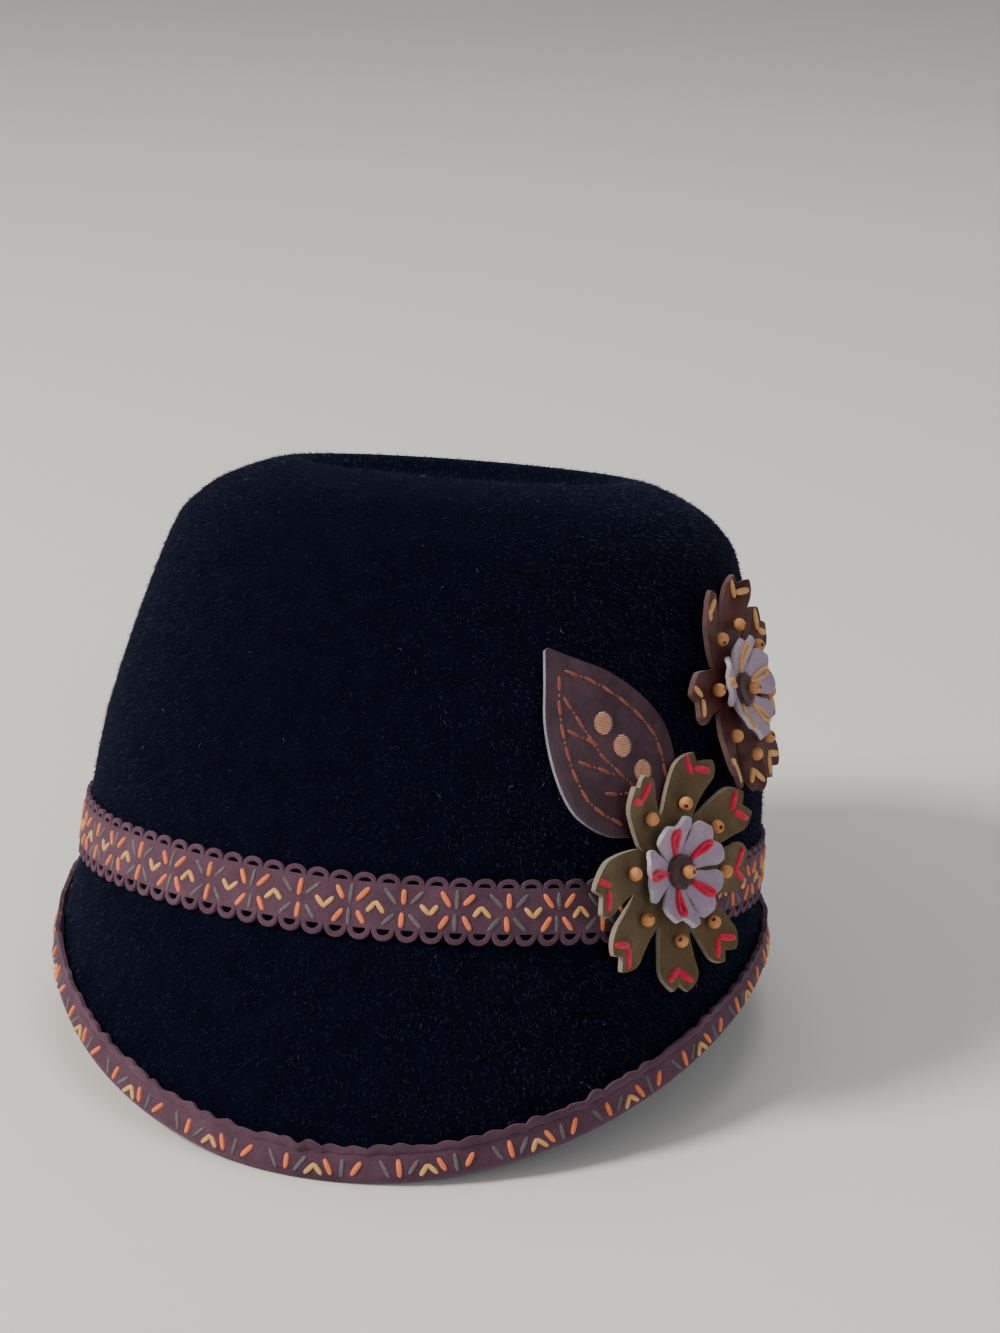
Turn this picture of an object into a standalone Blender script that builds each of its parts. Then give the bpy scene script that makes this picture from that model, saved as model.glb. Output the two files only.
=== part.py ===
"""A velour felt cloche with a deep peak, a scalloped leather band and two sewn leather flowers.

The hat is drawn in its own frame first: z = 0 at the lower edge of the band, the peak towards -Y and
the flowers on the +X side.  Last, it is set down as it lies on a table, pitched back on the edge of
its peak and on the back of its rim, and its trim is pressed flat where it touches the table.
"""
import math
from collections import namedtuple

import bmesh
import bpy
from mathutils import Matrix, Vector

MM = 0.001

# Felt body: the head oval at the band, the crown above it and the brim below it
HEAD_HALF_WIDTH = 93.0 * MM
HEAD_FRONT = 96.5 * MM
HEAD_BACK = 98.2 * MM
CROWN_HEIGHT = 110.5 * MM
PEAK_DROP = 56.0 * MM
SIDE_DROP = 11.5 * MM
BACK_DROP = 14.5 * MM
PEAK_FLARE = 13.5 * MM
SIDE_FLARE = 3.0 * MM
BACK_FLARE = 2.8 * MM
FELT_WALL = 2.4 * MM

# Trim: leather strip with a scalloped, pierced edge
BAND_WIDTH = 16.8 * MM
BAND_WALL = 1.2 * MM
SCALLOP_PITCH = 5.9 * MM
SCALLOP_STRAND = 1.0 * MM
SCALLOP_HOLE_RISE = 0.3 * MM
BINDING_WALL = 1.2 * MM
BINDING_OUTER_FLAP = 7.5 * MM
BINDING_INNER_FLAP = 6.5 * MM
BINDING_PRESSED = 0.9 * MM
BINDING_ROUNDING = 0.6

# Leaf: smooth leather, sewn to the crown with its foot under the lower flower
LEAF_LENGTH = 54.0 * MM
LEAF_WIDTH = 33.0 * MM
LEAF_WALL = 1.5 * MM
LEAF_TIP_LIFT = 4.0 * MM
LEAF_FOOT_TURN = math.radians(48.6)
LEAF_FOOT_HEIGHT = 29.5 * MM
LEAF_LEAN = math.radians(40.0)

# Flowers: an outer flower, a smaller inner one, a centre patch and round wooden beads
OUTER_WALL = 1.4 * MM
INNER_WALL = 1.2 * MM
INNER_REACH = 14.4 * MM
INNER_RISE = 2.6 * MM
PATCH_RADIUS = 4.6 * MM
PATCH_WALL = 0.9 * MM
PATCH_TAPER = 0.9
# The inner petals start to rise inside the patch's radius, so the patch sits a little higher
PATCH_CLEARANCE = 0.1 * MM
BEAD_RADIUS = 1.8 * MM
BEAD_RING_RADIUS = 17.5 * MM

# Clearance kept between pieces that touch
GAP = 0.3 * MM

# Fineness of the faceted surfaces
TURN_STEPS = 40
SECTION_STEPS = 2
SCALLOP_STEPS = 3
LEAF_COLUMNS = 4
BEAD_SIDES = 10
BEAD_RINGS = 4
SHARP_ANGLE = math.radians(40.0)

# Corners closer than these are one corner
SAME_CORNER = 0.01 * MM
SAME_SEAM_CORNER = 0.02 * MM

# Steps that directions on a surface are measured over, and how finely heights and lengths are searched
TURN_STEP = 0.002
HEIGHT_STEP = 0.5 * MM
RIM_STEP = 0.01
RIM_SHARE = 0.9
HALVINGS = 30
OVAL_SAMPLES = 720

# Crown sections from the band up over the rim of the dent and down to its floor.  The height is a
# share of CROWN_HEIGHT, the width of HEAD_HALF_WIDTH, the front of HEAD_FRONT, and the back and the
# middle of HEAD_BACK.  A negative front lies behind the middle of the head.
Section = namedtuple("Section", "height width front back middle")
CROWN_SECTIONS = (
    Section(height=0.000, width=1.000, front=1.000, back=1.000, middle=0.000),
    Section(height=0.350, width=0.980, front=0.853, back=0.996, middle=0.089),
    Section(height=0.770, width=0.868, front=0.580, back=0.954, middle=0.196),
    Section(height=0.890, width=0.785, front=0.460, back=0.880, middle=0.225),
    Section(height=0.957, width=0.655, front=0.335, back=0.775, middle=0.244),
    Section(height=0.988, width=0.515, front=0.130, back=0.615, middle=0.245),
    Section(height=0.945, width=0.400, front=0.030, back=0.520, middle=0.250),
    Section(height=0.912, width=0.200, front=-0.110, back=0.385, middle=0.250),
)
DENT_FLOOR = Section(height=0.903, width=0.0, front=-0.254, back=0.250, middle=0.250)

# Shares of the brim's drop, from its edge up to the band
BRIM_SHARES = (1.0, 0.75, 0.5, 0.25)

# How far round the sides the peak reaches, how quickly it runs out into the side brim, and how the
# brim's flare grows from the band to the edge
PEAK_SPREAD = 0.35
PEAK_TAPER = 2.05
FLARE_CURVE = 0.9

# Half widths of a leaf and of the two kinds of petal, along their length
Outline = namedtuple("Outline", "along half_width")
LEAF_OUTLINE = (
    Outline(along=0.00, half_width=0.36),
    Outline(along=0.12, half_width=0.78),
    Outline(along=0.28, half_width=1.00),
    Outline(along=0.42, half_width=1.00),
    Outline(along=0.58, half_width=0.86),
    Outline(along=0.74, half_width=0.62),
    Outline(along=0.88, half_width=0.30),
    Outline(along=1.00, half_width=0.03),
)
OUTER_PETAL_OUTLINE = (
    Outline(along=0.24, half_width=0.80),
    Outline(along=0.68, half_width=0.64),
    Outline(along=1.00, half_width=0.46),
)
INNER_PETAL_OUTLINE = (
    Outline(along=0.60, half_width=0.78),
    Outline(along=1.00, half_width=0.56),
)

# The two flowers.  The turn runs round the head from the peak, and the height is above the band's edge.
# Each outer petal's tip is lifted by its own share of the cup, and a petal below zero hugs the crown.
Flower = namedtuple("Flower", "name turn height seat reach spin inner_spin cup lifts")
LOWER_FLOWER = Flower(
    name="lower", turn=math.radians(52.5), height=16.5 * MM, seat=BAND_WALL + 2.0 * GAP,
    reach=32.5 * MM, spin=math.radians(-7.0), inner_spin=math.radians(37.0), cup=6.0 * MM,
    lifts=(-0.5, -0.2, -0.2, 0.7, 0.5, 0.2, 0.6, 0.5))
UPPER_FLOWER = Flower(
    name="upper", turn=math.radians(72.5), height=58.5 * MM, seat=GAP,
    reach=32.5 * MM, spin=math.radians(-7.0), inner_spin=math.radians(20.0), cup=9.0 * MM,
    lifts=(-0.3, 0.1, 0.3, 0.4, 0.2, 0.6, 0.45, -0.1))
OUTER_PETALS = 8
INNER_PETALS = 5
ROOT_RADIUS = 13.0 * MM
INNER_ROOT_RADIUS = 4.5 * MM
PETAL_STEPS = 4
PETAL_NOTCH = 0.10
PETAL_ROUNDING = 0.17
PETAL_HOLLOW = 1.2 * MM
CUP_CURVE = 1.5

MATERIALS = {
    "velour_felt": ((0.012, 0.016, 0.036), 0.95, 0.0),
    "trim_suede": ((0.145, 0.085, 0.098), 0.85, 0.0),
    "leaf_leather": ((0.060, 0.028, 0.032), 0.55, 0.0),
    "olive_suede": ((0.120, 0.085, 0.035), 0.90, 0.0),
    "burgundy_leather": ((0.090, 0.028, 0.024), 0.55, 0.0),
    "lilac_suede": ((0.300, 0.235, 0.310), 0.90, 0.0),
    "patch_leather": ((0.050, 0.030, 0.030), 0.70, 0.0),
    "bead_wood": ((0.560, 0.250, 0.100), 0.50, 0.0),
}


def clear_scene():
    for stray in list(bpy.data.objects):
        bpy.data.objects.remove(stray, do_unlink=True)


def material(name):
    colour, roughness, metallic = MATERIALS[name]
    made = bpy.data.materials.get(name)
    if made is None:
        made = bpy.data.materials.new(name)
        made.use_nodes = True
        shader = made.node_tree.nodes["Principled BSDF"]
        shader.inputs["Base Color"].default_value = (*colour, 1.0)
        shader.inputs["Roughness"].default_value = roughness
        shader.inputs["Metallic"].default_value = metallic
    return made


def add_object(name, shape, finish, collection):
    """Turn a finished bmesh into a named object with its own finish."""
    bmesh.ops.remove_doubles(shape, verts=shape.verts, dist=SAME_CORNER)
    mesh = bpy.data.meshes.new(name)
    shape.to_mesh(mesh)
    shape.free()
    mesh.shade_smooth()
    mesh.set_sharp_from_angle(angle=SHARP_ANGLE)
    made = bpy.data.objects.new(name, mesh)
    made.data.materials.append(material(finish))
    collection.objects.link(made)
    return made


def thicken(made, wall, offset, even=False):
    """Give an open surface its wall: offset -1 grows inwards, 1 outwards."""
    shell = made.modifiers.new("wall", "SOLIDIFY")
    shell.thickness = wall
    shell.offset = offset
    shell.use_even_offset = even


def loft(rings, closed_path):
    """Faces between rings of equal length; each ring is a closed loop of points."""
    shape = bmesh.new()
    loops = [[shape.verts.new(point) for point in ring] for ring in rings]
    pairs = list(zip(loops, loops[1:]))
    if closed_path:
        pairs.append((loops[-1], loops[0]))
    for lower, upper in pairs:
        count = len(lower)
        for index in range(count):
            following = (index + 1) % count
            shape.faces.new((lower[index], lower[following], upper[following], upper[index]))
    return shape, loops


def between(rows, place):
    """A smooth curve through the rows of a table, read at a place counted in rows."""
    last = len(rows) - 1
    index = min(int(place), last - 1)
    t = place - index
    before = rows[max(index - 1, 0)]
    start = rows[index]
    end = rows[index + 1]
    after = rows[min(index + 2, last)]
    values = []
    for a, b, c, d in zip(before, start, end, after):
        entry = 0.5 * (c - a)
        leave = 0.5 * (d - b)
        values.append(
            (2 * t**3 - 3 * t**2 + 1) * b + (t**3 - 2 * t**2 + t) * entry
            + (3 * t**2 - 2 * t**3) * c + (t**3 - t**2) * leave)
    return type(start)(*values)


def section_point(section, turn):
    """A point of an egg-shaped section; turn 0 is the front and a quarter turn is the +X side."""
    middle = section.middle * HEAD_BACK
    if math.cos(turn) > 0.0:
        reach = section.front * HEAD_FRONT + middle
    else:
        reach = section.back * HEAD_BACK - middle
    return Vector((
        section.width * HEAD_HALF_WIDTH * math.sin(turn),
        middle - reach * math.cos(turn),
        section.height * CROWN_HEIGHT))


def crown_point(turn, height):
    """A point on the outside of the crown wall at a height below the rim of the dent."""
    low = 0.0
    high = float(max(range(len(CROWN_SECTIONS)), key=lambda row: CROWN_SECTIONS[row].height))
    for _ in range(HALVINGS):
        place = 0.5 * (low + high)
        if between(CROWN_SECTIONS, place).height * CROWN_HEIGHT < height:
            low = place
        else:
            high = place
    return section_point(between(CROWN_SECTIONS, low), turn)


def brim_point(turn, share):
    """A point on the outside of the brim, from the band (share 0) to the edge (share 1)."""
    front = max((math.cos(turn) + PEAK_SPREAD) / (1.0 + PEAK_SPREAD), 0.0)**PEAK_TAPER
    back = max(-math.cos(turn), 0.0)**2
    drop = SIDE_DROP + (PEAK_DROP - SIDE_DROP) * front + (BACK_DROP - SIDE_DROP) * back
    flare = SIDE_FLARE + (PEAK_FLARE - SIDE_FLARE) * front + (BACK_FLARE - SIDE_FLARE) * back
    outward = Vector((math.sin(turn), -math.cos(turn), 0.0))
    point = section_point(CROWN_SECTIONS[0], turn) + outward * flare * share**FLARE_CURVE
    point.z = -drop * share
    return point


def surface_frame(point_at, turn, height):
    """Origin, direction of turn, upward direction and outward normal of a surface."""
    around = point_at(turn + TURN_STEP, height) - point_at(turn - TURN_STEP, height)
    up = point_at(turn, height + HEIGHT_STEP) - point_at(turn, max(height - HEIGHT_STEP, 0.0))
    normal = around.cross(up).normalized()
    around.normalize()
    return point_at(turn, height), around, normal.cross(around), normal


def steps(count):
    return [2.0 * math.pi * index / count for index in range(count)]


def felt_body(collection):
    """Crown and brim in one: an outer skin from the brim's edge to the dent, walled inwards."""
    turns = steps(TURN_STEPS)
    rings = [[brim_point(turn, share) for turn in turns] for share in BRIM_SHARES]
    places = [index / SECTION_STEPS for index in range((len(CROWN_SECTIONS) - 1) * SECTION_STEPS + 1)]
    for place in places:
        section = between(CROWN_SECTIONS, place)
        rings.append([section_point(section, turn) for turn in turns])
    shape, loops = loft(rings, closed_path=False)
    floor = shape.verts.new(section_point(DENT_FLOOR, 0.0))
    top = loops[-1]
    for index, corner in enumerate(top):
        shape.faces.new((corner, top[(index + 1) % len(top)], floor))
    made = add_object("felt_body", shape, "velour_felt", collection)
    thicken(made, FELT_WALL, -1.0, even=True)
    return made


def rim_frame(turn):
    """The felt's outer edge with its outward normal and its direction towards the edge."""
    edge = brim_point(turn, 1.0)
    along = (brim_point(turn + RIM_STEP, 1.0) - brim_point(turn - RIM_STEP, 1.0)).normalized()
    down = edge - brim_point(turn, RIM_SHARE)
    normal = down.cross(along).normalized()
    return edge, normal, along.cross(normal).normalized()


def binding_section(turn):
    """A U of leather folded over the felt's edge; the flaps lie on both faces of the brim."""
    edge, normal, down = rim_frame(turn)
    middle = edge - normal * FELT_WALL * 0.5
    inside = FELT_WALL * 0.5 + GAP
    outside = inside + BINDING_WALL
    rounded = outside * BINDING_ROUNDING
    corners = (
        (outside, -BINDING_OUTER_FLAP), (outside, -GAP), (rounded, GAP + BINDING_WALL),
        (-rounded, GAP + BINDING_WALL), (-outside, -GAP), (-outside, -BINDING_INNER_FLAP),
        (-inside, -BINDING_INNER_FLAP), (-inside, GAP), (inside, GAP), (inside, -BINDING_OUTER_FLAP))
    return [middle + normal * out + down * drop for out, drop in corners]


def rim_binding(collection):
    rings = [binding_section(turn) for turn in steps(TURN_STEPS)]
    shape, _ = loft(rings, closed_path=True)
    bmesh.ops.recalc_face_normals(shape, faces=shape.faces)
    return add_object("rim_binding", shape, "trim_suede", collection)


def arc(centre_x, centre_y, radius, start, end, count):
    """Points along an arc, both ends included; angles in degrees."""
    points = []
    for index in range(count + 1):
        angle = math.radians(start + (end - start) * index / count)
        points.append((centre_x + radius * math.cos(angle), centre_y + radius * math.sin(angle)))
    return points


def flat_mesh(name, loops):
    """A flat mesh filled from closed outlines, the first outside and the rest holes."""
    curve = bpy.data.curves.new(name, "CURVE")
    curve.dimensions = "2D"
    curve.fill_mode = "BOTH"
    for loop in loops:
        spline = curve.splines.new("POLY")
        spline.points.add(len(loop) - 1)
        for point, (x, y) in zip(spline.points, loop):
            point.co = (x, y, 0.0, 1.0)
        spline.use_cyclic_u = True
    holder = bpy.data.objects.new(name, curve)
    bpy.context.scene.collection.objects.link(holder)
    graph = bpy.context.evaluated_depsgraph_get()
    mesh = bpy.data.meshes.new_from_object(holder.evaluated_get(graph))
    bpy.data.objects.remove(holder, do_unlink=True)
    bpy.data.curves.remove(curve)
    return mesh


def scallop_module(pitch):
    """One scallop of the strip: an arch with a half-moon hole below, a plain scallop above."""
    radius = 0.5 * pitch
    lower = arc(radius, radius, radius, 180.0, 360.0, SCALLOP_STEPS)
    upper = arc(radius, BAND_WIDTH - radius, radius, 0.0, 180.0, SCALLOP_STEPS)
    hole = arc(radius, radius + SCALLOP_HOLE_RISE, radius - SCALLOP_STRAND, 180.0, 360.0, SCALLOP_STEPS)
    return flat_mesh("scallop", [lower + upper, hole])


def lengths_round_head():
    """Running length of the head oval and the turn that it belongs to."""
    table = [(0.0, 0.0)]
    previous = section_point(CROWN_SECTIONS[0], 0.0)
    for index in range(1, OVAL_SAMPLES + 1):
        turn = 2.0 * math.pi * index / OVAL_SAMPLES
        point = section_point(CROWN_SECTIONS[0], turn)
        table.append((table[-1][0] + (point - previous).length, turn))
        previous = point
    return table


def turn_at_length(table, length):
    low = 0
    high = len(table) - 1
    while high - low > 1:
        middle = (low + high) // 2
        if table[middle][0] <= length:
            low = middle
        else:
            high = middle
    start, end = table[low], table[high]
    return start[1] + (end[1] - start[1]) * (length - start[0]) / (end[0] - start[0])


def on_wall(turn, climb, lift):
    """A point that lies a climb up the crown wall from the band's edge, lifted off the felt."""
    foot = crown_point(turn, 0.0)
    top = crown_point(turn, BAND_WIDTH)
    height = climb * BAND_WIDTH / (top - foot).length
    point, _, _, normal = surface_frame(crown_point, turn, height)
    return point + normal * lift


def hat_band(collection):
    table = lengths_round_head()
    whole = table[-1][0]
    count = round(whole / SCALLOP_PITCH)
    pitch = whole / count
    module = scallop_module(pitch)
    shape = bmesh.new()
    for index in range(count):
        before = len(shape.verts)
        shape.from_mesh(module)
        shape.verts.ensure_lookup_table()
        for vertex in shape.verts[before:]:
            turn = turn_at_length(table, min(vertex.co.x + index * pitch, whole))
            vertex.co = on_wall(turn, vertex.co.y, GAP)
    bpy.data.meshes.remove(module)
    bmesh.ops.remove_doubles(shape, verts=shape.verts, dist=SAME_SEAM_CORNER)
    bmesh.ops.recalc_face_normals(shape, faces=shape.faces)
    outermost = max(shape.faces, key=lambda face: face.calc_center_median().x)
    if outermost.normal.x < 0.0:
        bmesh.ops.reverse_faces(shape, faces=shape.faces)
    made = add_object("hat_band", shape, "trim_suede", collection)
    thicken(made, BAND_WALL, 1.0)
    return made


def grid_faces(shape, rows):
    """Quads between rows of points that face the reader when rows climb and run to the right."""
    made = [[shape.verts.new(point) for point in row] for row in rows]
    for lower, upper in zip(made, made[1:]):
        for index in range(len(lower) - 1):
            shape.faces.new((lower[index], lower[index + 1], upper[index + 1], upper[index]))


def leaf_point(along, across):
    """A point of the leaf, laid on the crown from its foot up towards the peak side."""
    right = across * math.cos(LEAF_LEAN) - along * math.sin(LEAF_LEAN)
    up = across * math.sin(LEAF_LEAN) + along * math.cos(LEAF_LEAN)
    origin, _, upward, _ = surface_frame(crown_point, LEAF_FOOT_TURN, LEAF_FOOT_HEIGHT)
    height = LEAF_FOOT_HEIGHT + up * upward.z
    radius = math.hypot(origin.x, origin.y)
    turn = LEAF_FOOT_TURN + right / radius
    point, _, _, normal = surface_frame(crown_point, turn, height)
    lift = GAP + LEAF_TIP_LIFT * max(along / LEAF_LENGTH, 0.0)**2
    return point + normal * lift


def leaf(collection):
    shape = bmesh.new()
    rows = []
    sides = [2.0 * index / LEAF_COLUMNS - 1.0 for index in range(LEAF_COLUMNS + 1)]
    for row in LEAF_OUTLINE:
        half = 0.5 * LEAF_WIDTH * row.half_width
        along = LEAF_LENGTH * row.along
        rows.append([leaf_point(along, half * side) for side in sides])
    grid_faces(shape, rows)
    made = add_object("leaf", shape, "leaf_leather", collection)
    thicken(made, LEAF_WALL, 1.0)
    return made


def flower_matrix(flower):
    """Local frame of a flower: X round the head, Y up the crown, Z out of the felt."""
    origin, around, upward, normal = surface_frame(crown_point, flower.turn, flower.height)
    origin = origin + normal * flower.seat
    return Matrix((
        (around.x, upward.x, normal.x, origin.x),
        (around.y, upward.y, normal.y, origin.y),
        (around.z, upward.z, normal.z, origin.z),
        (0.0, 0.0, 0.0, 1.0)))


def petal_row(radius_share, half_share, root, reach, petals):
    """Offsets across a petal at one place along it, as (outward, sideways) pairs."""
    half_angle = math.pi / petals
    radius = root + (reach - root) * radius_share
    half = half_share * radius * math.tan(half_angle)
    row = []
    for index in range(PETAL_STEPS + 1):
        side = 2.0 * index / PETAL_STEPS - 1.0
        shorter = PETAL_ROUNDING * abs(side)**2 + PETAL_NOTCH * (1.0 - abs(side))
        row.append((radius - (reach - root) * shorter * radius_share**2, half * side))
    return row


def petal_surface(petals, spin, root, reach, outline, height_at):
    """An open flower surface: a round middle with petals that share its edge."""
    shape = bmesh.new()
    half_angle = math.pi / petals
    middle = shape.verts.new((0.0, 0.0, height_at(0, 0.0, 0.0)))
    for petal in range(petals):
        centre = spin + 2.0 * half_angle * petal
        root_row = []
        for index in range(PETAL_STEPS + 1):
            angle = centre + half_angle * (2.0 * index / PETAL_STEPS - 1.0)
            height = height_at(petal, root, 0.0)
            root_row.append(Vector((root * math.cos(angle), root * math.sin(angle), height)))
        rows = [root_row]
        out = Vector((math.cos(centre), math.sin(centre), 0.0))
        side = Vector((-math.sin(centre), math.cos(centre), 0.0))
        for place in outline:
            row = []
            for outward, sideways in petal_row(place.along, place.half_width, root, reach, petals):
                point = out * outward + side * sideways
                point.z = height_at(petal, outward, sideways)
                row.append(point)
            rows.append(row)
        made = [[shape.verts.new(point) for point in row] for row in rows]
        for inner, outer in zip(made, made[1:]):
            for index in range(PETAL_STEPS):
                shape.faces.new((inner[index], outer[index], outer[index + 1], inner[index + 1]))
        for index in range(PETAL_STEPS):
            shape.faces.new((middle, made[0][index], made[0][index + 1]))
    return shape


def outer_height(flower):
    """Height of an outer petal above the flower's seat: cupped along and hollow across."""
    def height_at(petal, outward, sideways):
        rise = flower.cup * flower.lifts[petal]
        share = max(outward - ROOT_RADIUS, 0.0) / (flower.reach - ROOT_RADIUS)
        across = sideways / (flower.reach * math.tan(math.pi / OUTER_PETALS))
        return rise * share**CUP_CURVE + PETAL_HOLLOW * across**2 * share
    return height_at


def inner_height(flower):
    """The inner flower lies on the outer one, its petals lifted clear of the petals below."""
    base = OUTER_WALL + GAP
    highest = flower.cup * max(flower.lifts)

    def height_at(petal, outward, sideways):
        share = max(outward - ROOT_RADIUS, 0.0) / (flower.reach - ROOT_RADIUS)
        start = max(outward - INNER_ROOT_RADIUS, 0.0) / (INNER_REACH - INNER_ROOT_RADIUS)
        return base + highest * share**CUP_CURVE + INNER_RISE * start
    return height_at


def place_flower_piece(made, flower):
    made.matrix_world = flower_matrix(flower)


def outer_flower(flower, name, finish, collection):
    shape = petal_surface(
        OUTER_PETALS, flower.spin, ROOT_RADIUS, flower.reach, OUTER_PETAL_OUTLINE, outer_height(flower))
    made = add_object(name, shape, finish, collection)
    thicken(made, OUTER_WALL, 1.0)
    place_flower_piece(made, flower)
    return made


def inner_flower(flower, name, collection):
    shape = petal_surface(
        INNER_PETALS, flower.inner_spin, INNER_ROOT_RADIUS, INNER_REACH, INNER_PETAL_OUTLINE,
        inner_height(flower))
    made = add_object(name, shape, "lilac_suede", collection)
    thicken(made, INNER_WALL, 1.0)
    place_flower_piece(made, flower)
    return made


def centre_patch(flower, name, collection):
    """A round patch of leather under the centre bead."""
    shape = bmesh.new()
    bmesh.ops.create_cone(
        shape, cap_ends=True, segments=BEAD_SIDES, radius1=PATCH_RADIUS,
        radius2=PATCH_RADIUS * PATCH_TAPER, depth=PATCH_WALL)
    seat = OUTER_WALL + INNER_WALL + 2.0 * GAP + 0.5 * PATCH_WALL
    bmesh.ops.translate(shape, verts=shape.verts, vec=(0.0, 0.0, seat + PATCH_CLEARANCE))
    made = add_object(name, shape, "patch_leather", collection)
    place_flower_piece(made, flower)
    return made


def bead(flower, name, place, collection):
    """A round wooden bead in a flower's frame."""
    shape = bmesh.new()
    bmesh.ops.create_uvsphere(
        shape, u_segments=BEAD_SIDES, v_segments=BEAD_RINGS, radius=BEAD_RADIUS,
        matrix=Matrix.Translation(place))
    made = add_object(name, shape, "bead_wood", collection)
    place_flower_piece(made, flower)
    return made


def flower_beads(flower, collection):
    """One bead on each outer petal and one on the centre patch."""
    height_at = outer_height(flower)
    beads = []
    for petal in range(OUTER_PETALS):
        angle = flower.spin + 2.0 * math.pi * petal / OUTER_PETALS
        height = height_at(petal, BEAD_RING_RADIUS + BEAD_RADIUS, 0.0) + OUTER_WALL + GAP + BEAD_RADIUS
        place = Vector((BEAD_RING_RADIUS * math.cos(angle), BEAD_RING_RADIUS * math.sin(angle), height))
        beads.append(bead(flower, f"{flower.name}_petal_bead_{petal + 1}", place, collection))
    centre = OUTER_WALL + INNER_WALL + PATCH_WALL + 3.0 * GAP + PATCH_CLEARANCE + BEAD_RADIUS
    beads.append(bead(flower, f"{flower.name}_centre_bead", Vector((0.0, 0.0, centre)), collection))
    return beads


def resting_turn():
    """The turn about X and the lift that put the peak's edge and the back rim on the table."""
    front = min(binding_section(0.0), key=lambda point: point.z)
    back = min(binding_section(math.pi), key=lambda point: point.z)
    pitch = math.atan2(back.z - front.z, back.y - front.y)
    turned = Matrix.Rotation(-pitch, 4, "X")
    lift = -(turned @ front).z - BINDING_PRESSED
    return Matrix.Translation((0.0, 0.0, lift)) @ turned


def set_down(pieces):
    """Bake every piece into the resting pose, press the trim flat and centre the hat on its box."""
    rest = resting_turn()
    graph = bpy.context.evaluated_depsgraph_get()
    corners = []
    for made in pieces:
        mesh = made.data
        mesh.transform(rest @ made.matrix_world)
        made.matrix_world = Matrix.Identity(4)
        if made.name == "rim_binding":
            for vertex in mesh.vertices:
                vertex.co.z = max(vertex.co.z, 0.0)
        mesh.update()
    graph.update()
    for made in pieces:
        solid = made.evaluated_get(graph).to_mesh()
        corners.extend(vertex.co.copy() for vertex in solid.vertices)
        made.evaluated_get(graph).to_mesh_clear()
    centre_x = 0.5 * (min(point.x for point in corners) + max(point.x for point in corners))
    centre_y = 0.5 * (min(point.y for point in corners) + max(point.y for point in corners))
    for made in pieces:
        made.data.transform(Matrix.Translation((-centre_x, -centre_y, 0.0)))
    print("pitch", math.degrees(rest.to_euler().x), "lift", rest.translation.z, "centre", centre_x, centre_y)


def main():
    clear_scene()
    collection = bpy.data.collections.new("cloche_hat")
    bpy.context.scene.collection.children.link(collection)
    pieces = [felt_body(collection), hat_band(collection), rim_binding(collection), leaf(collection)]
    for flower, finish in ((LOWER_FLOWER, "olive_suede"), (UPPER_FLOWER, "burgundy_leather")):
        pieces.append(outer_flower(flower, f"{flower.name}_outer_flower", finish, collection))
        pieces.append(inner_flower(flower, f"{flower.name}_inner_flower", collection))
        pieces.append(centre_patch(flower, f"{flower.name}_centre_patch", collection))
        pieces.extend(flower_beads(flower, collection))
    set_down(pieces)


main()
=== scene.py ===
# %% [markdown]
# # A velour felt cloche with a deep peak
# The hat is blocked from one piece of velour felt: a crown with a wide oval dent, and a narrow brim that
# deepens into a peak.  A scalloped strip of suede runs round the foot of the crown and is folded over
# the edge, and one smooth leaf and two leather flowers are sewn to the side.
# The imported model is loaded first.  Its solids stay where they are, and every piece below is made to fit.

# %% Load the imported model
import math
import random
from collections import namedtuple

import bmesh
import bpy
import numpy as np
from mathutils import Matrix, Vector, noise


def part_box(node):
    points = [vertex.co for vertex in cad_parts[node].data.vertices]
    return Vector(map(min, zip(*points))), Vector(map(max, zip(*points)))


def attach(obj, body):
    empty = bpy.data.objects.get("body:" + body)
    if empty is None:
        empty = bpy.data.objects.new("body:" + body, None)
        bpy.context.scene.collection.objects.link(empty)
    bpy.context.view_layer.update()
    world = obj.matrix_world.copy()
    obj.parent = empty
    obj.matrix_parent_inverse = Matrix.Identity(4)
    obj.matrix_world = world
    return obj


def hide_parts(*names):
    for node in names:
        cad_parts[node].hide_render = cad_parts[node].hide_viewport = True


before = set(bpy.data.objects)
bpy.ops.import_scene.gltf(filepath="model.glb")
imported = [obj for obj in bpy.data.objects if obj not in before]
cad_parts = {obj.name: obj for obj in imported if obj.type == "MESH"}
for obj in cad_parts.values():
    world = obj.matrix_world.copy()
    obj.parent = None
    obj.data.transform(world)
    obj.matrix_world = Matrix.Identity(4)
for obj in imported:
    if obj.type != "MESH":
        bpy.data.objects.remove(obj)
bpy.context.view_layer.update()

MM = 0.001
BODY = "root"

# %% [markdown]
# ## The sizes of the hat
# A hatter starts from a block, and its few sizes settle the rest.  The crown is a stack of egg-shaped
# sections, given as shares of the head's own sizes, so the table says how the hat is shaped and the
# sizes say how big it is.

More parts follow.
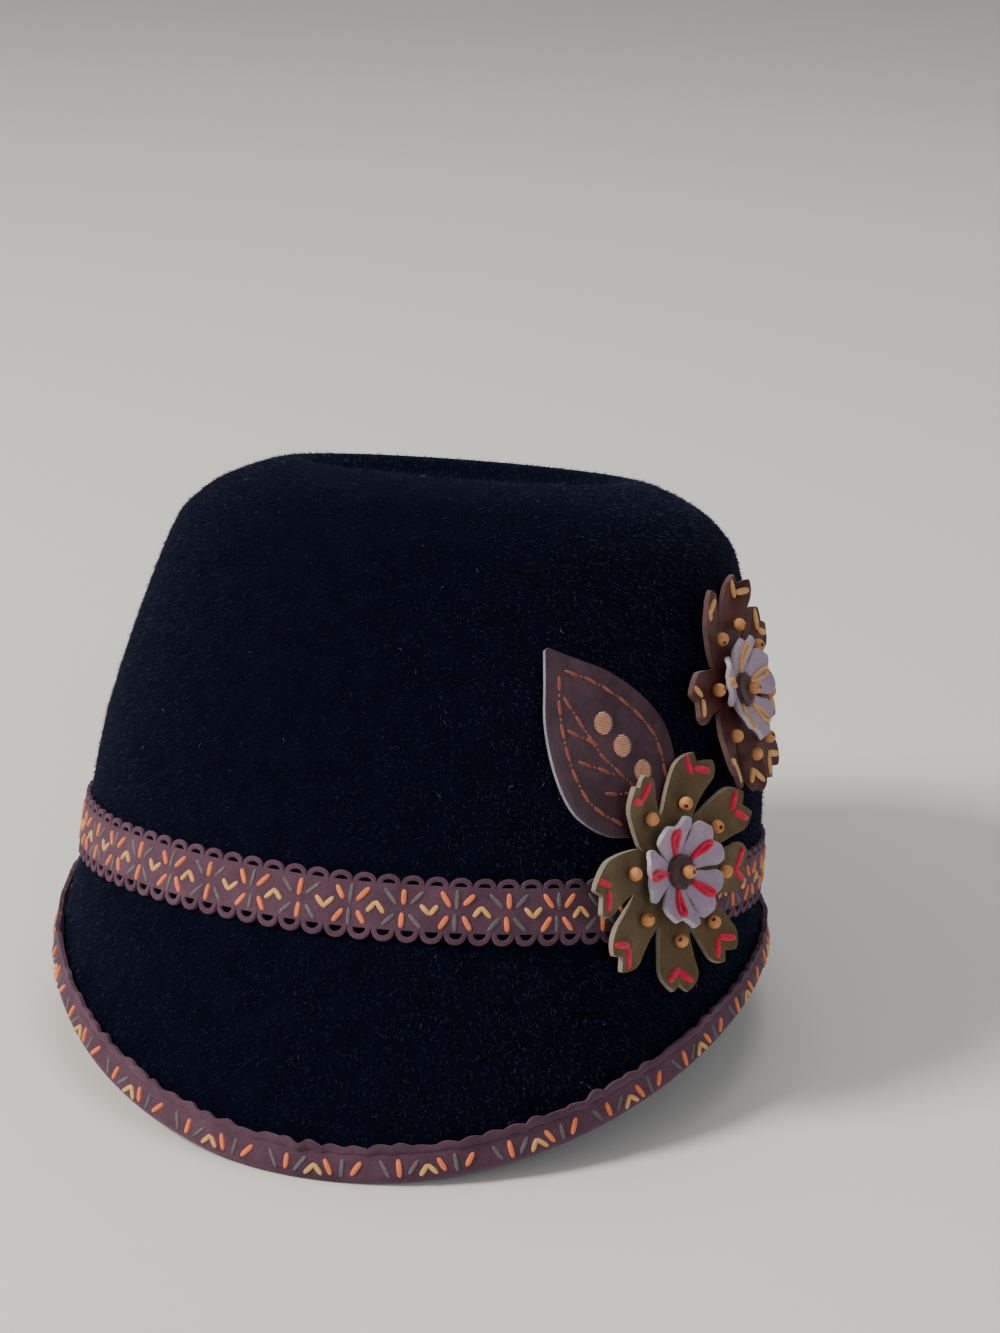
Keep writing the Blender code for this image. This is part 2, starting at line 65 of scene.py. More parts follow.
# %% Sizes of the felt
HEAD_HALF_WIDTH = 93.0 * MM
HEAD_FRONT = 96.5 * MM
HEAD_BACK = 98.2 * MM
CROWN_HEIGHT = 110.5 * MM
PEAK_DROP = 56.0 * MM
SIDE_DROP = 11.5 * MM
BACK_DROP = 14.5 * MM
PEAK_FLARE = 13.5 * MM
SIDE_FLARE = 3.0 * MM
BACK_FLARE = 2.8 * MM
FELT_WALL = 2.4 * MM
PEAK_SPREAD = 0.35
PEAK_TAPER = 2.05
FLARE_CURVE = 0.9
GAP = 0.3 * MM
Section = namedtuple("Section", "height width front back middle")
CROWN_SECTIONS = (
    Section(height=0.000, width=1.000, front=1.000, back=1.000, middle=0.000),
    Section(height=0.350, width=0.980, front=0.853, back=0.996, middle=0.089),
    Section(height=0.770, width=0.868, front=0.580, back=0.954, middle=0.196),
    Section(height=0.890, width=0.785, front=0.460, back=0.880, middle=0.225),
    Section(height=0.957, width=0.655, front=0.335, back=0.775, middle=0.244),
    Section(height=0.988, width=0.515, front=0.130, back=0.615, middle=0.245),
    Section(height=0.945, width=0.400, front=0.030, back=0.520, middle=0.250),
    Section(height=0.912, width=0.200, front=-0.110, back=0.385, middle=0.250),
    Section(height=0.903, width=0.000, front=-0.254, back=0.250, middle=0.250),
)
DENT_RIM_ROW = 5
print("head oval", HEAD_HALF_WIDTH * 2.0 / MM, "by", (HEAD_FRONT + HEAD_BACK) / MM, "mm")

# %% [markdown]
# ## Reading the shape anywhere
# Felt has no edges between its sections, so a smooth curve is run through the rows of the table.  It
# could be drawn as a spline object too, but a small function can be asked for any point, and the band,
# the leaf and the flowers all ask it where the felt is.

# %% A smooth curve through the rows of a table
def between(rows, place):
    """The row found at a place that is counted in rows."""
    last = len(rows) - 1
    index = min(int(place), last - 1)
    t = place - index
    before, start = rows[max(index - 1, 0)], rows[index]
    end, after = rows[index + 1], rows[min(index + 2, last)]
    values = []
    for a, b, c, d in zip(before, start, end, after):
        entry = 0.5 * (c - a)
        leave = 0.5 * (d - b)
        values.append(
            (2 * t**3 - 3 * t**2 + 1) * b + (t**3 - 2 * t**2 + t) * entry
            + (3 * t**2 - 2 * t**3) * c + (t**3 - t**2) * leave)
    return type(start)(*values)


def section_point(section, turn):
    """A point of an egg-shaped section; turn 0 is the front and a quarter turn is the +X side."""
    middle = section.middle * HEAD_BACK
    if math.cos(turn) > 0.0:
        reach = section.front * HEAD_FRONT + middle
    else:
        reach = section.back * HEAD_BACK - middle
    return Vector((
        section.width * HEAD_HALF_WIDTH * math.sin(turn),
        middle - reach * math.cos(turn),
        section.height * CROWN_HEIGHT))


def brim_point(turn, share):
    """A point on the outside of the brim, from the band (share 0) to the edge (share 1)."""
    front = max((math.cos(turn) + PEAK_SPREAD) / (1.0 + PEAK_SPREAD), 0.0)**PEAK_TAPER
    back = max(-math.cos(turn), 0.0)**2
    drop = SIDE_DROP + (PEAK_DROP - SIDE_DROP) * front + (BACK_DROP - SIDE_DROP) * back
    flare = SIDE_FLARE + (PEAK_FLARE - SIDE_FLARE) * front + (BACK_FLARE - SIDE_FLARE) * back
    outward = Vector((math.sin(turn), -math.cos(turn), 0.0))
    point = section_point(CROWN_SECTIONS[0], turn) + outward * flare * share**FLARE_CURVE
    point.z = -drop * share
    return point


print("edge of the peak", brim_point(0.0, 1.0))

# %% [markdown]
# What is sewn on needs more than a point: it needs the way the felt faces there.  A ray shot at the
# finished mesh would find it too, but two small steps, one round the hat and one up it, give the same
# directions before any mesh is made, and free of its facets.

# %% Where the felt is, and which way it faces
PLACES = np.linspace(0.0, DENT_RIM_ROW, 501)
HEIGHTS = [between(CROWN_SECTIONS[:DENT_RIM_ROW + 3], float(place)).height for place in PLACES]
TURN_STEP = 0.002
HEIGHT_STEP = 0.5 * MM


def crown_point(turn, height):
    """A point on the outside of the crown wall, at a height above the band's lower edge."""
    place = float(np.interp(height / CROWN_HEIGHT, HEIGHTS, PLACES))
    return section_point(between(CROWN_SECTIONS[:DENT_RIM_ROW + 3], place), turn)


def axes_at(origin, around, upward, normal):
    """A matrix whose X runs round the hat, Y up it and Z out of it."""
    turned = Matrix((around, upward, normal)).transposed().to_4x4()
    turned.translation = origin
    return turned


def crown_frame(turn, height):
    """The crown's surface at a turn and a height: X runs round it, Y up it and Z out of it."""
    around = crown_point(turn + TURN_STEP, height) - crown_point(turn - TURN_STEP, height)
    up = crown_point(turn, height + HEIGHT_STEP) - crown_point(turn, max(height - HEIGHT_STEP, 0.0))
    normal = around.cross(up).normalized()
    around.normalize()
    return axes_at(crown_point(turn, height), around, normal.cross(around), normal)


print("side of the crown faces", crown_frame(math.pi / 2, 40.0 * MM).col[2].xyz)

# %% [markdown]
# ## Laying the hat down
# All pieces are drawn with the hat upright, which keeps the sums simple.  On the table it leans back on
# the edge of its peak and the back of its rim.  The lean follows from the lowest corners of the folded
# binding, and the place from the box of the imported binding, so the dressed hat lies exactly where the
# solids do.

# %% The binding's section and the hat's resting place
BINDING_WALL = 1.2 * MM
OUTER_FLAP = 7.5 * MM
INNER_FLAP = 6.5 * MM
BINDING_PRESSED = 0.9 * MM
BINDING_ROUNDING = 0.6
RIM_STEP = 0.01
RIM_SHARE = 0.9


def rim_frame(turn):
    """The felt's outer edge: X runs along it, Y points off the edge and Z out of the felt."""
    edge = brim_point(turn, 1.0)
    along = (brim_point(turn + RIM_STEP, 1.0) - brim_point(turn - RIM_STEP, 1.0)).normalized()
    normal = (edge - brim_point(turn, RIM_SHARE)).cross(along).normalized()
    return axes_at(edge, along, along.cross(normal).normalized(), normal)


def binding_corners(turn):
    """Outer corners of the plain solid binding, which say how the hat rests."""
    place = rim_frame(turn)
    outside = FELT_WALL * 0.5 + GAP + BINDING_WALL
    fold = GAP + BINDING_WALL
    corners = (
        (outside, -OUTER_FLAP), (outside, -GAP), (outside * BINDING_ROUNDING, fold),
        (-outside * BINDING_ROUNDING, fold), (-outside, -GAP), (-outside, -INNER_FLAP))
    return [place @ Vector((0.0, drop, out - FELT_WALL * 0.5)) for out, drop in corners]


lowest_front = min(binding_corners(0.0), key=lambda corner: corner.z)
lowest_back = min(binding_corners(math.pi), key=lambda corner: corner.z)
lean = math.atan2(lowest_back.z - lowest_front.z, lowest_back.y - lowest_front.y)
LEAN = Matrix.Rotation(-lean, 4, "X")
binding_low, binding_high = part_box("rim_binding")
REST = Matrix.Translation((
    0.5 * (binding_low[0] + binding_high[0]),
    binding_low[1] - min((LEAN @ corner).y for corner in binding_corners(0.0)),
    -(LEAN @ lowest_front).z - BINDING_PRESSED)) @ LEAN
print("lean", math.degrees(-lean), "place", REST.translation)

# %% [markdown]
# ## Three small tools
# Most pieces are one of three things: a sleeve, which is a circle extruded from ring to ring; a sheet,
# which is a grid bent over the felt; or many copies of one small shape, such as a stitch.  Copies are
# joined into a single mesh with arrays, because hundreds of separate objects would be slow to handle.

# %% Sleeve, sheet and joined copies
SAME_CORNER = 0.02 * MM
SHARP_ANGLE = math.radians(40.0)


def sleeve(rows):
    """A circle laid on the first ring of points and extruded through the others."""
    shape = bmesh.new()
    ring = bmesh.ops.create_circle(shape, segments=len(rows[0]), radius=1.0)["verts"]
    for corner, point in zip(ring, rows[0]):
        corner.co = point
    edges = shape.edges[:]
    for row in rows[1:]:
        grown = bmesh.ops.extrude_edge_only(shape, edges=edges)["geom"]
        fresh = {part for part in grown if isinstance(part, bmesh.types.BMVert)}
        ring = [next(e.other_vert(c) for e in c.link_edges if e.other_vert(c) in fresh) for c in ring]
        for corner, point in zip(ring, row):
            corner.co = point
        lines = [part for part in grown if isinstance(part, bmesh.types.BMEdge)]
        edges = [line for line in lines if line.verts[0] in fresh and line.verts[1] in fresh]
    return shape


def sheet_of(columns, rows, place_at):
    """A grid whose corners are moved to place_at(across, along), both from 0 to 1."""
    shape = bmesh.new()
    bmesh.ops.create_grid(shape, x_segments=columns, y_segments=rows, size=1.0)
    for corner in shape.verts:
        corner.co = place_at(0.5 * (corner.co.x + 1.0), 0.5 * (corner.co.y + 1.0))
    return shape


def joined_copies(template, places):
    """One bmesh that holds the template once for each matrix."""
    template.verts.index_update()
    corners = np.array([tuple(corner.co) for corner in template.verts])
    faces = [[corner.index for corner in face.verts] for face in template.faces]
    moved = np.array([[list(row) for row in place] for place in places])
    points = np.einsum("kij,nj->kni", moved[:, :3, :3], corners) + moved[:, None, :3, 3]
    mesh = bpy.data.meshes.new("copies")
    starts = [copy * len(corners) for copy in range(len(places))]
    every_face = [[start + index for index in face] for start in starts for face in faces]
    mesh.from_pydata(points.reshape(-1, 3).tolist(), [], every_face)
    template.free()
    shape = bmesh.new()
    shape.from_mesh(mesh)
    bpy.data.meshes.remove(mesh)
    return shape


def face_outwards(shape, towards):
    """Merge doubles and make the faces agree, with the one furthest along a direction facing that way."""
    bmesh.ops.remove_doubles(shape, verts=shape.verts, dist=SAME_CORNER)
    bmesh.ops.recalc_face_normals(shape, faces=shape.faces)
    furthest = max(shape.faces, key=lambda face: face.calc_center_median().dot(towards))
    if furthest.normal.dot(towards) < 0.0:
        bmesh.ops.reverse_faces(shape, faces=shape.faces)


trial = sheet_of(4, 3, lambda across, along: Vector((across, along, 0.0)))
print("a sheet of 4 by 3 has", len(trial.faces), "faces")
trial.free()

# %% [markdown]
# ## From a shape to a piece of the hat
# A finished shape is laid down with the hat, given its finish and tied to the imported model.  The object
# itself stays at the origin, so a pattern that reads object coordinates never slides.  Walls come from
# Solidify, because real felt and leather have a cut edge that catches the light.

# %% Make a piece
def piece(name, shape, finishes, replaced=(), lowest=None):
    """Lay a shape down and make it an object of the hat."""
    bmesh.ops.transform(shape, matrix=REST, verts=shape.verts)
    if lowest is not None:
        for corner in shape.verts:
            corner.co.z = max(corner.co.z, lowest)
    mesh = bpy.data.meshes.new(name)
    shape.to_mesh(mesh)
    shape.free()
    mesh.shade_smooth()
    mesh.set_sharp_from_angle(angle=SHARP_ANGLE)
    for finish in finishes:
        mesh.materials.append(finish)
    made = bpy.data.objects.new(name, mesh)
    bpy.context.scene.collection.objects.link(made)
    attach(made, BODY)
    if replaced:
        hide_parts(*replaced)
    print(name, "faces", len(mesh.polygons))
    return made


def give_wall(made, wall, offset, rim=0, even=False):
    """Thickness for an open shape; rim 1 gives the cut edge the piece's second finish."""
    shell = made.modifiers.new("wall", "SOLIDIFY")
    shell.thickness = wall
    shell.offset = offset
    shell.use_even_offset = even
    shell.material_offset_rim = rim


def soften_edges(made, width):
    """A small round on every sharp edge."""
    edge = made.modifiers.new("soft edge", "BEVEL")
    edge.width = width
    edge.segments = 2
    edge.limit_method = "ANGLE"
    edge.angle_limit = SHARP_ANGLE


print("every piece rides on", BODY, "and edges over", round(math.degrees(SHARP_ANGLE)), "degrees stay sharp")

# %% [markdown]
# ## Finishes
# Every finish of the hat is worked out at each point of the surface from noise at object coordinates.
# A painted texture could do it too, but it would need unwrapping and would show where it starts again.
# A few helpers keep the node trees short.

# %% Helpers for node trees
def node_group(name, inputs, outputs):
    """An empty node group with named sockets, and its input and output nodes."""
    made = bpy.data.node_groups.new(name, "ShaderNodeTree")
    for label, kind, value in inputs:
        made.interface.new_socket(label, in_out="INPUT", socket_type=kind).default_value = value
    for label, kind in outputs:
        made.interface.new_socket(label, in_out="OUTPUT", socket_type=kind)
    return made, made.nodes.new("NodeGroupInput"), made.nodes.new("NodeGroupOutput")


def add_noise(tree, coordinates, detail, roughness=0.6):
    made = tree.nodes.new("ShaderNodeTexNoise")
    made.inputs["Detail"].default_value = detail
    made.inputs["Roughness"].default_value = roughness
    tree.links.new(coordinates, made.inputs["Vector"])
    return made


def add_math(tree, operation, first, second):
    made = tree.nodes.new("ShaderNodeMath")
    made.operation = operation
    for socket, value in zip(made.inputs, (first, second)):
        if isinstance(value, (int, float)):
            socket.default_value = value
        else:
            tree.links.new(value, socket)
    return made.outputs[0]


def add_mix(tree, factor, first, second):
    made = tree.nodes.new("ShaderNodeMix")
    made.data_type = "RGBA"
    tree.links.new(factor, made.inputs[0])
    for socket, value in ((made.inputs[6], first), (made.inputs[7], second)):
        if isinstance(value, tuple):
            socket.default_value = value
        else:
            tree.links.new(value, socket)
    return made.outputs[2]


def add_range(tree, value, low, high):
    made = tree.nodes.new("ShaderNodeMapRange")
    made.inputs["From Min"].default_value = low
    made.inputs["From Max"].default_value = high
    tree.links.new(value, made.inputs["Value"])
    return made.outputs["Result"]


helpers = (node_group, add_noise, add_math, add_mix, add_range)
print("helpers", ", ".join(helper.__name__ for helper in helpers))

# %% [markdown]
# Felt, suede and thread are all fibres, so one effect serves them: a fine noise for the nap and a
# coarse one for patches that are brushed lighter or darker.  It could be copied into each material, but
# a node group with named inputs is made once, and each material sets its own colours and scale.

# %% Node group for nap
NOISE_RANGE = (0.3, 0.7)
FIBRE_SHARE = 0.45
COLOUR = "NodeSocketColor"
FLOAT = "NodeSocketFloat"
nap, nap_in, nap_out = node_group(
    "nap",
    (("Dark", COLOUR, (0.1, 0.1, 0.1, 1.0)), ("Light", COLOUR, (0.3, 0.3, 0.3, 1.0)),
     ("Fibre Scale", FLOAT, 1500.0), ("Patch Scale", FLOAT, 60.0)),
    (("Colour", COLOUR), ("Height", FLOAT)))
nap_place = nap.nodes.new("ShaderNodeTexCoord").outputs["Object"]
fibres = add_noise(nap, nap_place, 4.0, 0.7)
patches = add_noise(nap, nap_place, 5.0)
nap.links.new(nap_in.outputs["Fibre Scale"], fibres.inputs["Scale"])
nap.links.new(nap_in.outputs["Patch Scale"], patches.inputs["Scale"])
fibre_share = add_math(nap, "MULTIPLY", add_range(nap, fibres.outputs[0], *NOISE_RANGE), FIBRE_SHARE)
patch_share = add_math(
    nap, "MULTIPLY", add_range(nap, patches.outputs[0], *NOISE_RANGE), 1.0 - FIBRE_SHARE)
nap_share = add_math(nap, "ADD", fibre_share, patch_share)
nap_colour = add_mix(nap, nap_share, nap_in.outputs["Dark"], nap_in.outputs["Light"])
nap.links.new(nap_colour, nap_out.inputs["Colour"])
nap.links.new(fibres.outputs[0], nap_out.inputs["Height"])
print("node group", nap.name, "has", len(nap.nodes), "nodes")

# %% [markdown]
# Smooth leather has pores and scuffs instead of fibres.  Noise could give pores too, but the cells of a
# Voronoi pattern are spaced as real pores are, evenly and never in rows.  A noise that is cut off below
# makes the scuffs, which are both paler and rougher.

# %% Node group for smooth leather
SCUFF_RANGE = (0.42, 0.72)
SCUFF_ROUGHNESS = 0.25
POLISHED_ROUGHNESS = 0.42
hide, hide_in, hide_out = node_group(
    "smooth_leather",
    (("Dark", COLOUR, (0.1, 0.1, 0.1, 1.0)), ("Light", COLOUR, (0.3, 0.3, 0.3, 1.0)),
     ("Pore Scale", FLOAT, 1400.0), ("Scuff Scale", FLOAT, 90.0)),
    (("Colour", COLOUR), ("Roughness", FLOAT), ("Height", FLOAT)))
hide_place = hide.nodes.new("ShaderNodeTexCoord").outputs["Object"]
pores = hide.nodes.new("ShaderNodeTexVoronoi")
hide.links.new(hide_place, pores.inputs["Vector"])
hide.links.new(hide_in.outputs["Pore Scale"], pores.inputs["Scale"])
scuffs = add_noise(hide, hide_place, 7.0, 0.7)
hide.links.new(hide_in.outputs["Scuff Scale"], scuffs.inputs["Scale"])
scuffed = add_range(hide, scuffs.outputs[0], *SCUFF_RANGE)
hide_colour = add_mix(hide, scuffed, hide_in.outputs["Dark"], hide_in.outputs["Light"])
hide.links.new(hide_colour, hide_out.inputs["Colour"])
scuff_rough = add_math(hide, "MULTIPLY", scuffed, SCUFF_ROUGHNESS)
hide_rough = add_math(hide, "ADD", scuff_rough, POLISHED_ROUGHNESS)
hide.links.new(hide_rough, hide_out.inputs["Roughness"])
hide.links.new(pores.outputs["Distance"], hide_out.inputs["Height"])
print("node group", hide.name, "has", len(hide.nodes), "nodes")

# %% [markdown]
# Each finish below is one Principled shader fed by a group.  Sheen gives felt and suede the pale bloom
# that fibres show at a glancing angle, and a Bump node turns the noise into tiny relief.  Displacement
# would give real relief, but the pores are far smaller than a face.  Values that don't change over the
# surface are typed straight into the sockets.

# %% A shader fed by a group
SHEEN_ROUGHNESS = 0.45
FIBRE_ROUGHNESS = 0.92
FIBRE_SPECULAR = 0.15
HIDE_ROUGHNESS = 0.5
HIDE_SHEEN = 0.03
HIDE_BUMP = 0.25
HIDE_DEPTH = 0.15 * MM


def shader_of(name, roughness, sheen=0.0, sheen_tint=(1.0, 1.0, 1.0), specular=0.3):
    """A material with one Principled shader, and that shader."""
    made = bpy.data.materials.new(name)
    made.use_nodes = True
    shader = made.node_tree.nodes["Principled BSDF"]
    shader.inputs["Roughness"].default_value = roughness
    shader.inputs["Specular IOR Level"].default_value = specular
    shader.inputs["Sheen Weight"].default_value = sheen
    shader.inputs["Sheen Roughness"].default_value = SHEEN_ROUGHNESS
    shader.inputs["Sheen Tint"].default_value = (*sheen_tint, 1.0)
    return made, shader


def dress(made, shader, group, values, bump, depth):
    """Place a group in a material, set its inputs, and feed colour, roughness and relief."""
    tree = made.node_tree
    effect = tree.nodes.new("ShaderNodeGroup")
    effect.node_tree = group
    for label, value in values.items():
        effect.inputs[label].default_value = value
    tree.links.new(effect.outputs["Colour"], shader.inputs["Base Color"])
    if "Roughness" in effect.outputs:
        tree.links.new(effect.outputs["Roughness"], shader.inputs["Roughness"])
    relief = tree.nodes.new("ShaderNodeBump")
    relief.inputs["Strength"].default_value = bump
    relief.inputs["Distance"].default_value = depth
    tree.links.new(effect.outputs["Height"], relief.inputs["Height"])
    tree.links.new(relief.outputs["Normal"], shader.inputs["Normal"])
    return made


def fibrous(name, dark, light, fibre, patch, sheen, tint, bump=0.6, depth=0.4 * MM):
    """A finish of short fibres: felt, suede, thread or the grain of wood."""
    made, shader = shader_of(name, FIBRE_ROUGHNESS, sheen, tint, FIBRE_SPECULAR)
    values = {"Dark": (*dark, 1.0), "Light": (*light, 1.0), "Fibre Scale": fibre, "Patch Scale": patch}
    return dress(made, shader, nap, values, bump, depth)


def smooth_leather(name, dark, light, pore, scuff, specular=0.4):
    """A finish of grained hide, a little rougher where it is scuffed."""
    made, shader = shader_of(name, HIDE_ROUGHNESS, HIDE_SHEEN, light, specular)
    values = {"Dark": (*dark, 1.0), "Light": (*light, 1.0), "Pore Scale": pore, "Scuff Scale": scuff}
    return dress(made, shader, hide, values, HIDE_BUMP, HIDE_DEPTH)


print("finishes are made by", fibrous.__name__, "and", smooth_leather.__name__)

# %% [markdown]
# The felt is so deep a navy that most of it reads as black, and only the tips of its hairs return some
# light.  One mid blue would be simpler, but it looks like cloth.  So the ground is nearly black with
# hardly any gloss, and the hairs are the same navy painted much lighter, a painted highlight for the light
# their tips catch.

# %% Felt, nap and lint
FELT_SPECULAR = 0.03
FELT = fibrous(
    "navy_velour", (0.0004, 0.0005, 0.0030), (0.0024, 0.0032, 0.0130), fibre=1300.0, patch=160.0,
    sheen=0.03, tint=(0.25, 0.35, 0.75), bump=0.8, depth=0.5 * MM)
# The hairs' light colour is a painted highlight: it stands in for the glint on their tips.
NAP_PAINTED_GLINT = fibrous(
    "navy_nap_painted_glint", (0.0006, 0.0009, 0.0040), (0.0580, 0.0620, 0.1250), fibre=900.0, patch=300.0,
    sheen=0.03, tint=(0.25, 0.35, 0.75))
for finish in (FELT, NAP_PAINTED_GLINT):
    finish.node_tree.nodes["Principled BSDF"].inputs["Specular IOR Level"].default_value = FELT_SPECULAR
LINT = fibrous(
    "pale_lint", (0.09, 0.10, 0.14), (0.24, 0.25, 0.34), fibre=1300.0, patch=90.0,
    sheen=0.2, tint=(1.0, 1.0, 1.0))
print("felt", FELT.name, NAP_PAINTED_GLINT.name, LINT.name)

# %% [markdown]
# The trim, the lower flower and both inner flowers are suede.  The leaf and the upper flower are smooth
# leather.  Each hide could be painted by hand, but two colours and two scales are enough to tell it
# from its neighbour at the size it has in the picture.

# %% Suede and leather
TRIM = fibrous(
    "mauve_suede", (0.048, 0.0225, 0.036), (0.124, 0.062, 0.094), fibre=1700.0, patch=110.0,
    sheen=0.18, tint=(0.85, 0.60, 0.80))
OLIVE = fibrous(
    "olive_suede", (0.060, 0.038, 0.0165), (0.160, 0.108, 0.054), fibre=1800.0, patch=130.0,
    sheen=0.25, tint=(1.0, 0.95, 0.8))
LILAC = fibrous(
    "lilac_suede", (0.235, 0.175, 0.250), (0.440, 0.345, 0.450), fibre=1800.0, patch=150.0,
    sheen=0.25, tint=(1.0, 0.95, 1.0))
PATCH = fibrous(
    "brown_fluff", (0.040, 0.021, 0.021), (0.125, 0.070, 0.068), fibre=2200.0, patch=300.0,
    sheen=0.4, tint=(0.8, 0.7, 0.7))
LEAF_HIDE = smooth_leather("plum_leather", (0.037, 0.0145, 0.023), (0.086, 0.037, 0.056), 1500.0, 120.0)
BURGUNDY = smooth_leather(
    "burgundy_leather", (0.050, 0.010, 0.009), (0.122, 0.031, 0.026), 1400.0, 130.0, specular=0.2)
print("hides", TRIM.name, OLIVE.name, LILAC.name, PATCH.name, LEAF_HIDE.name, BURGUNDY.name)

# %% [markdown]
# A hide is dyed on its face and stays paler inside, so each cut edge has a finish of its own.  It could
# be masked in the shader, but the wall of a piece can put a second finish on its rim by itself.  Thread
# takes its fine fibres from the same group, and so does the wood of the beads, with a satin gloss.

# %% Cut edges, thread and wood
def cut_edge(name, dark, light):
    """The pale, fuzzy inside of a hide where it has been cut."""
    return fibrous(name, dark, light, fibre=2500.0, patch=220.0, sheen=0.2, tint=(1.0, 1.0, 1.0))


LEAF_EDGE = cut_edge("plum_cut_edge", (0.150, 0.145, 0.190), (0.330, 0.330, 0.420))
OLIVE_EDGE = cut_edge("olive_cut_edge", (0.150, 0.122, 0.082), (0.330, 0.285, 0.220))
BURGUNDY_EDGE = cut_edge("burgundy_cut_edge", (0.060, 0.026, 0.027), (0.140, 0.075, 0.075))
LILAC_EDGE = cut_edge("lilac_cut_edge", (0.360, 0.310, 0.360), (0.560, 0.500, 0.550))
THREAD_COLOURS = {
    "orange": ((0.62, 0.115, 0.030), (0.90, 0.240, 0.085)),
    "ochre": ((0.50, 0.240, 0.065), (0.76, 0.440, 0.160)),
    "grey": ((0.064, 0.058, 0.059), (0.168, 0.156, 0.158)),
    "crimson": ((0.46, 0.006, 0.034), (0.76, 0.026, 0.085)),
    "rust": ((0.170, 0.045, 0.030), (0.340, 0.100, 0.066)),
    "tan": ((0.420, 0.190, 0.115), (0.660, 0.340, 0.225)),
}
THREAD = {
    name: fibrous(
        f"{name}_thread", dark, light, fibre=3200.0, patch=500.0, sheen=0.25, tint=(1.0, 1.0, 1.0),
        bump=0.5, depth=0.2 * MM)
    for name, (dark, light) in THREAD_COLOURS.items()}
WOOD_ROUGHNESS = 0.42
WOOD = fibrous(
    "bead_wood", (0.40, 0.150, 0.050), (0.68, 0.320, 0.130), fibre=900.0, patch=320.0, sheen=0.0,
    tint=(1.0, 1.0, 1.0), bump=0.15, depth=0.1 * MM)
WOOD.node_tree.nodes["Principled BSDF"].inputs["Roughness"].default_value = WOOD_ROUGHNESS
print("finishes", len(bpy.data.materials))

# %% [markdown]
# ## The felt body
# Crown and brim are one piece of felt, steamed over a block, so they are one sleeve: it starts as a
# circle at the brim's edge, climbs the crown and closes in the middle of the dent.  A subdivided cage
# would be lighter, but many plain rings keep the soft shoulder round the dent exactly in place.

# %% Felt body
FELT_TURNS = 160
BRIM_RINGS = 18
RINGS_A_ROW = 8
POLE_MERGE = 0.1 * MM
felt_turns = [2.0 * math.pi * index / FELT_TURNS for index in range(FELT_TURNS)]
felt_rows = [
    [brim_point(turn, 1.0 - ring / BRIM_RINGS) for turn in felt_turns]
    for ring in range(BRIM_RINGS)]
for ring in range((len(CROWN_SECTIONS) - 1) * RINGS_A_ROW + 1):
    section = between(CROWN_SECTIONS, ring / RINGS_A_ROW)
    felt_rows.append([section_point(section, turn) for turn in felt_turns])
felt_shape = sleeve(felt_rows)
bmesh.ops.remove_doubles(felt_shape, verts=felt_shape.verts, dist=POLE_MERGE)
face_outwards(felt_shape, Vector((1.0, 0.0, 0.0)))
felt = piece("felt_crown_and_brim", felt_shape, [FELT], ["felt_body"])
give_wall(felt, FELT_WALL, -1.0, even=True)

# %% [markdown]
# ## Nap and lint
# Velour is felt with a raised pile, so short hairs brushed down the crown soften its outline and catch
# the light.  Dark felt also picks up pale lint, which tells the eye how big the hat is.  A hair system
# could grow them, but plain meshes keep their shape everywhere.  Arrays find a spot on the bare felt for
# each and stand it there.  The first two rings are left out, because the trim is folded over them.

# %% Scatter small things over the felt
FIRST_BARE_RING = 2


def scattered(rows, count, dice):
    """Spots spread evenly over a sleeve, with the directions round it, up it and out of it."""
    grid = np.array([[tuple(point) for point in row] for row in rows])
    start = grid[:-1].reshape(-1, 3)
    around = (np.roll(grid, -1, axis=1)[:-1]).reshape(-1, 3) - start
    upward = grid[1:].reshape(-1, 3) - start
    outward = np.cross(around, upward)
    area = np.linalg.norm(outward, axis=1)
    cells = dice.choice(len(area), count, p=area / area.sum())
    spots = start[cells] + dice.random((count, 1)) * around[cells] + dice.random((count, 1)) * upward[cells]
    around = around[cells] / np.linalg.norm(around[cells], axis=1, keepdims=True)
    outward = outward[cells] / area[cells][:, None]
    return spots, around, np.cross(outward, around), outward


def stood_on(spots, side, ahead, lengthwise, widths, lengths):
    """A matrix for each spot, from its three directions and its own width and length."""
    places = np.zeros((len(spots), 4, 4))
    places[:, :3, 0] = side * widths
    places[:, :3, 1] = ahead * widths
    places[:, :3, 2] = lengthwise * lengths
    places[:, :3, 3] = spots
    places[:, 3, 3] = 1.0
    return places


bare_felt = felt_rows[FIRST_BARE_RING:]
print("rings of felt outside the trim", len(bare_felt))

# %% [markdown]
# A hair is a spike of three faces, leaned over and brushed down the crown with some swirl.  Curves with
# a thickness would be rounder, but a hair is about half a pixel wide here, and they would cost more
# faces.  The dice are seeded, so the nap falls the same way each time.

# %% Hairs of the nap
NAP_HAIRS = 45000
NAP_LENGTH = 1.5 * MM
NAP_WIDTH = 0.13 * MM
NAP_SWIRL = 0.7
NAP_LIE = (0.6, 1.35)
NAP_LENGTHS = (0.6, 1.1)


def hair_template():
    """A three-sided spike, one unit long, that stands on the origin."""
    shape = bmesh.new()
    bmesh.ops.create_cone(shape, cap_ends=True, segments=3, radius1=0.5, radius2=0.0, depth=1.0)
    bmesh.ops.translate(shape, verts=shape.verts, vec=(0.0, 0.0, 0.5))
    return shape


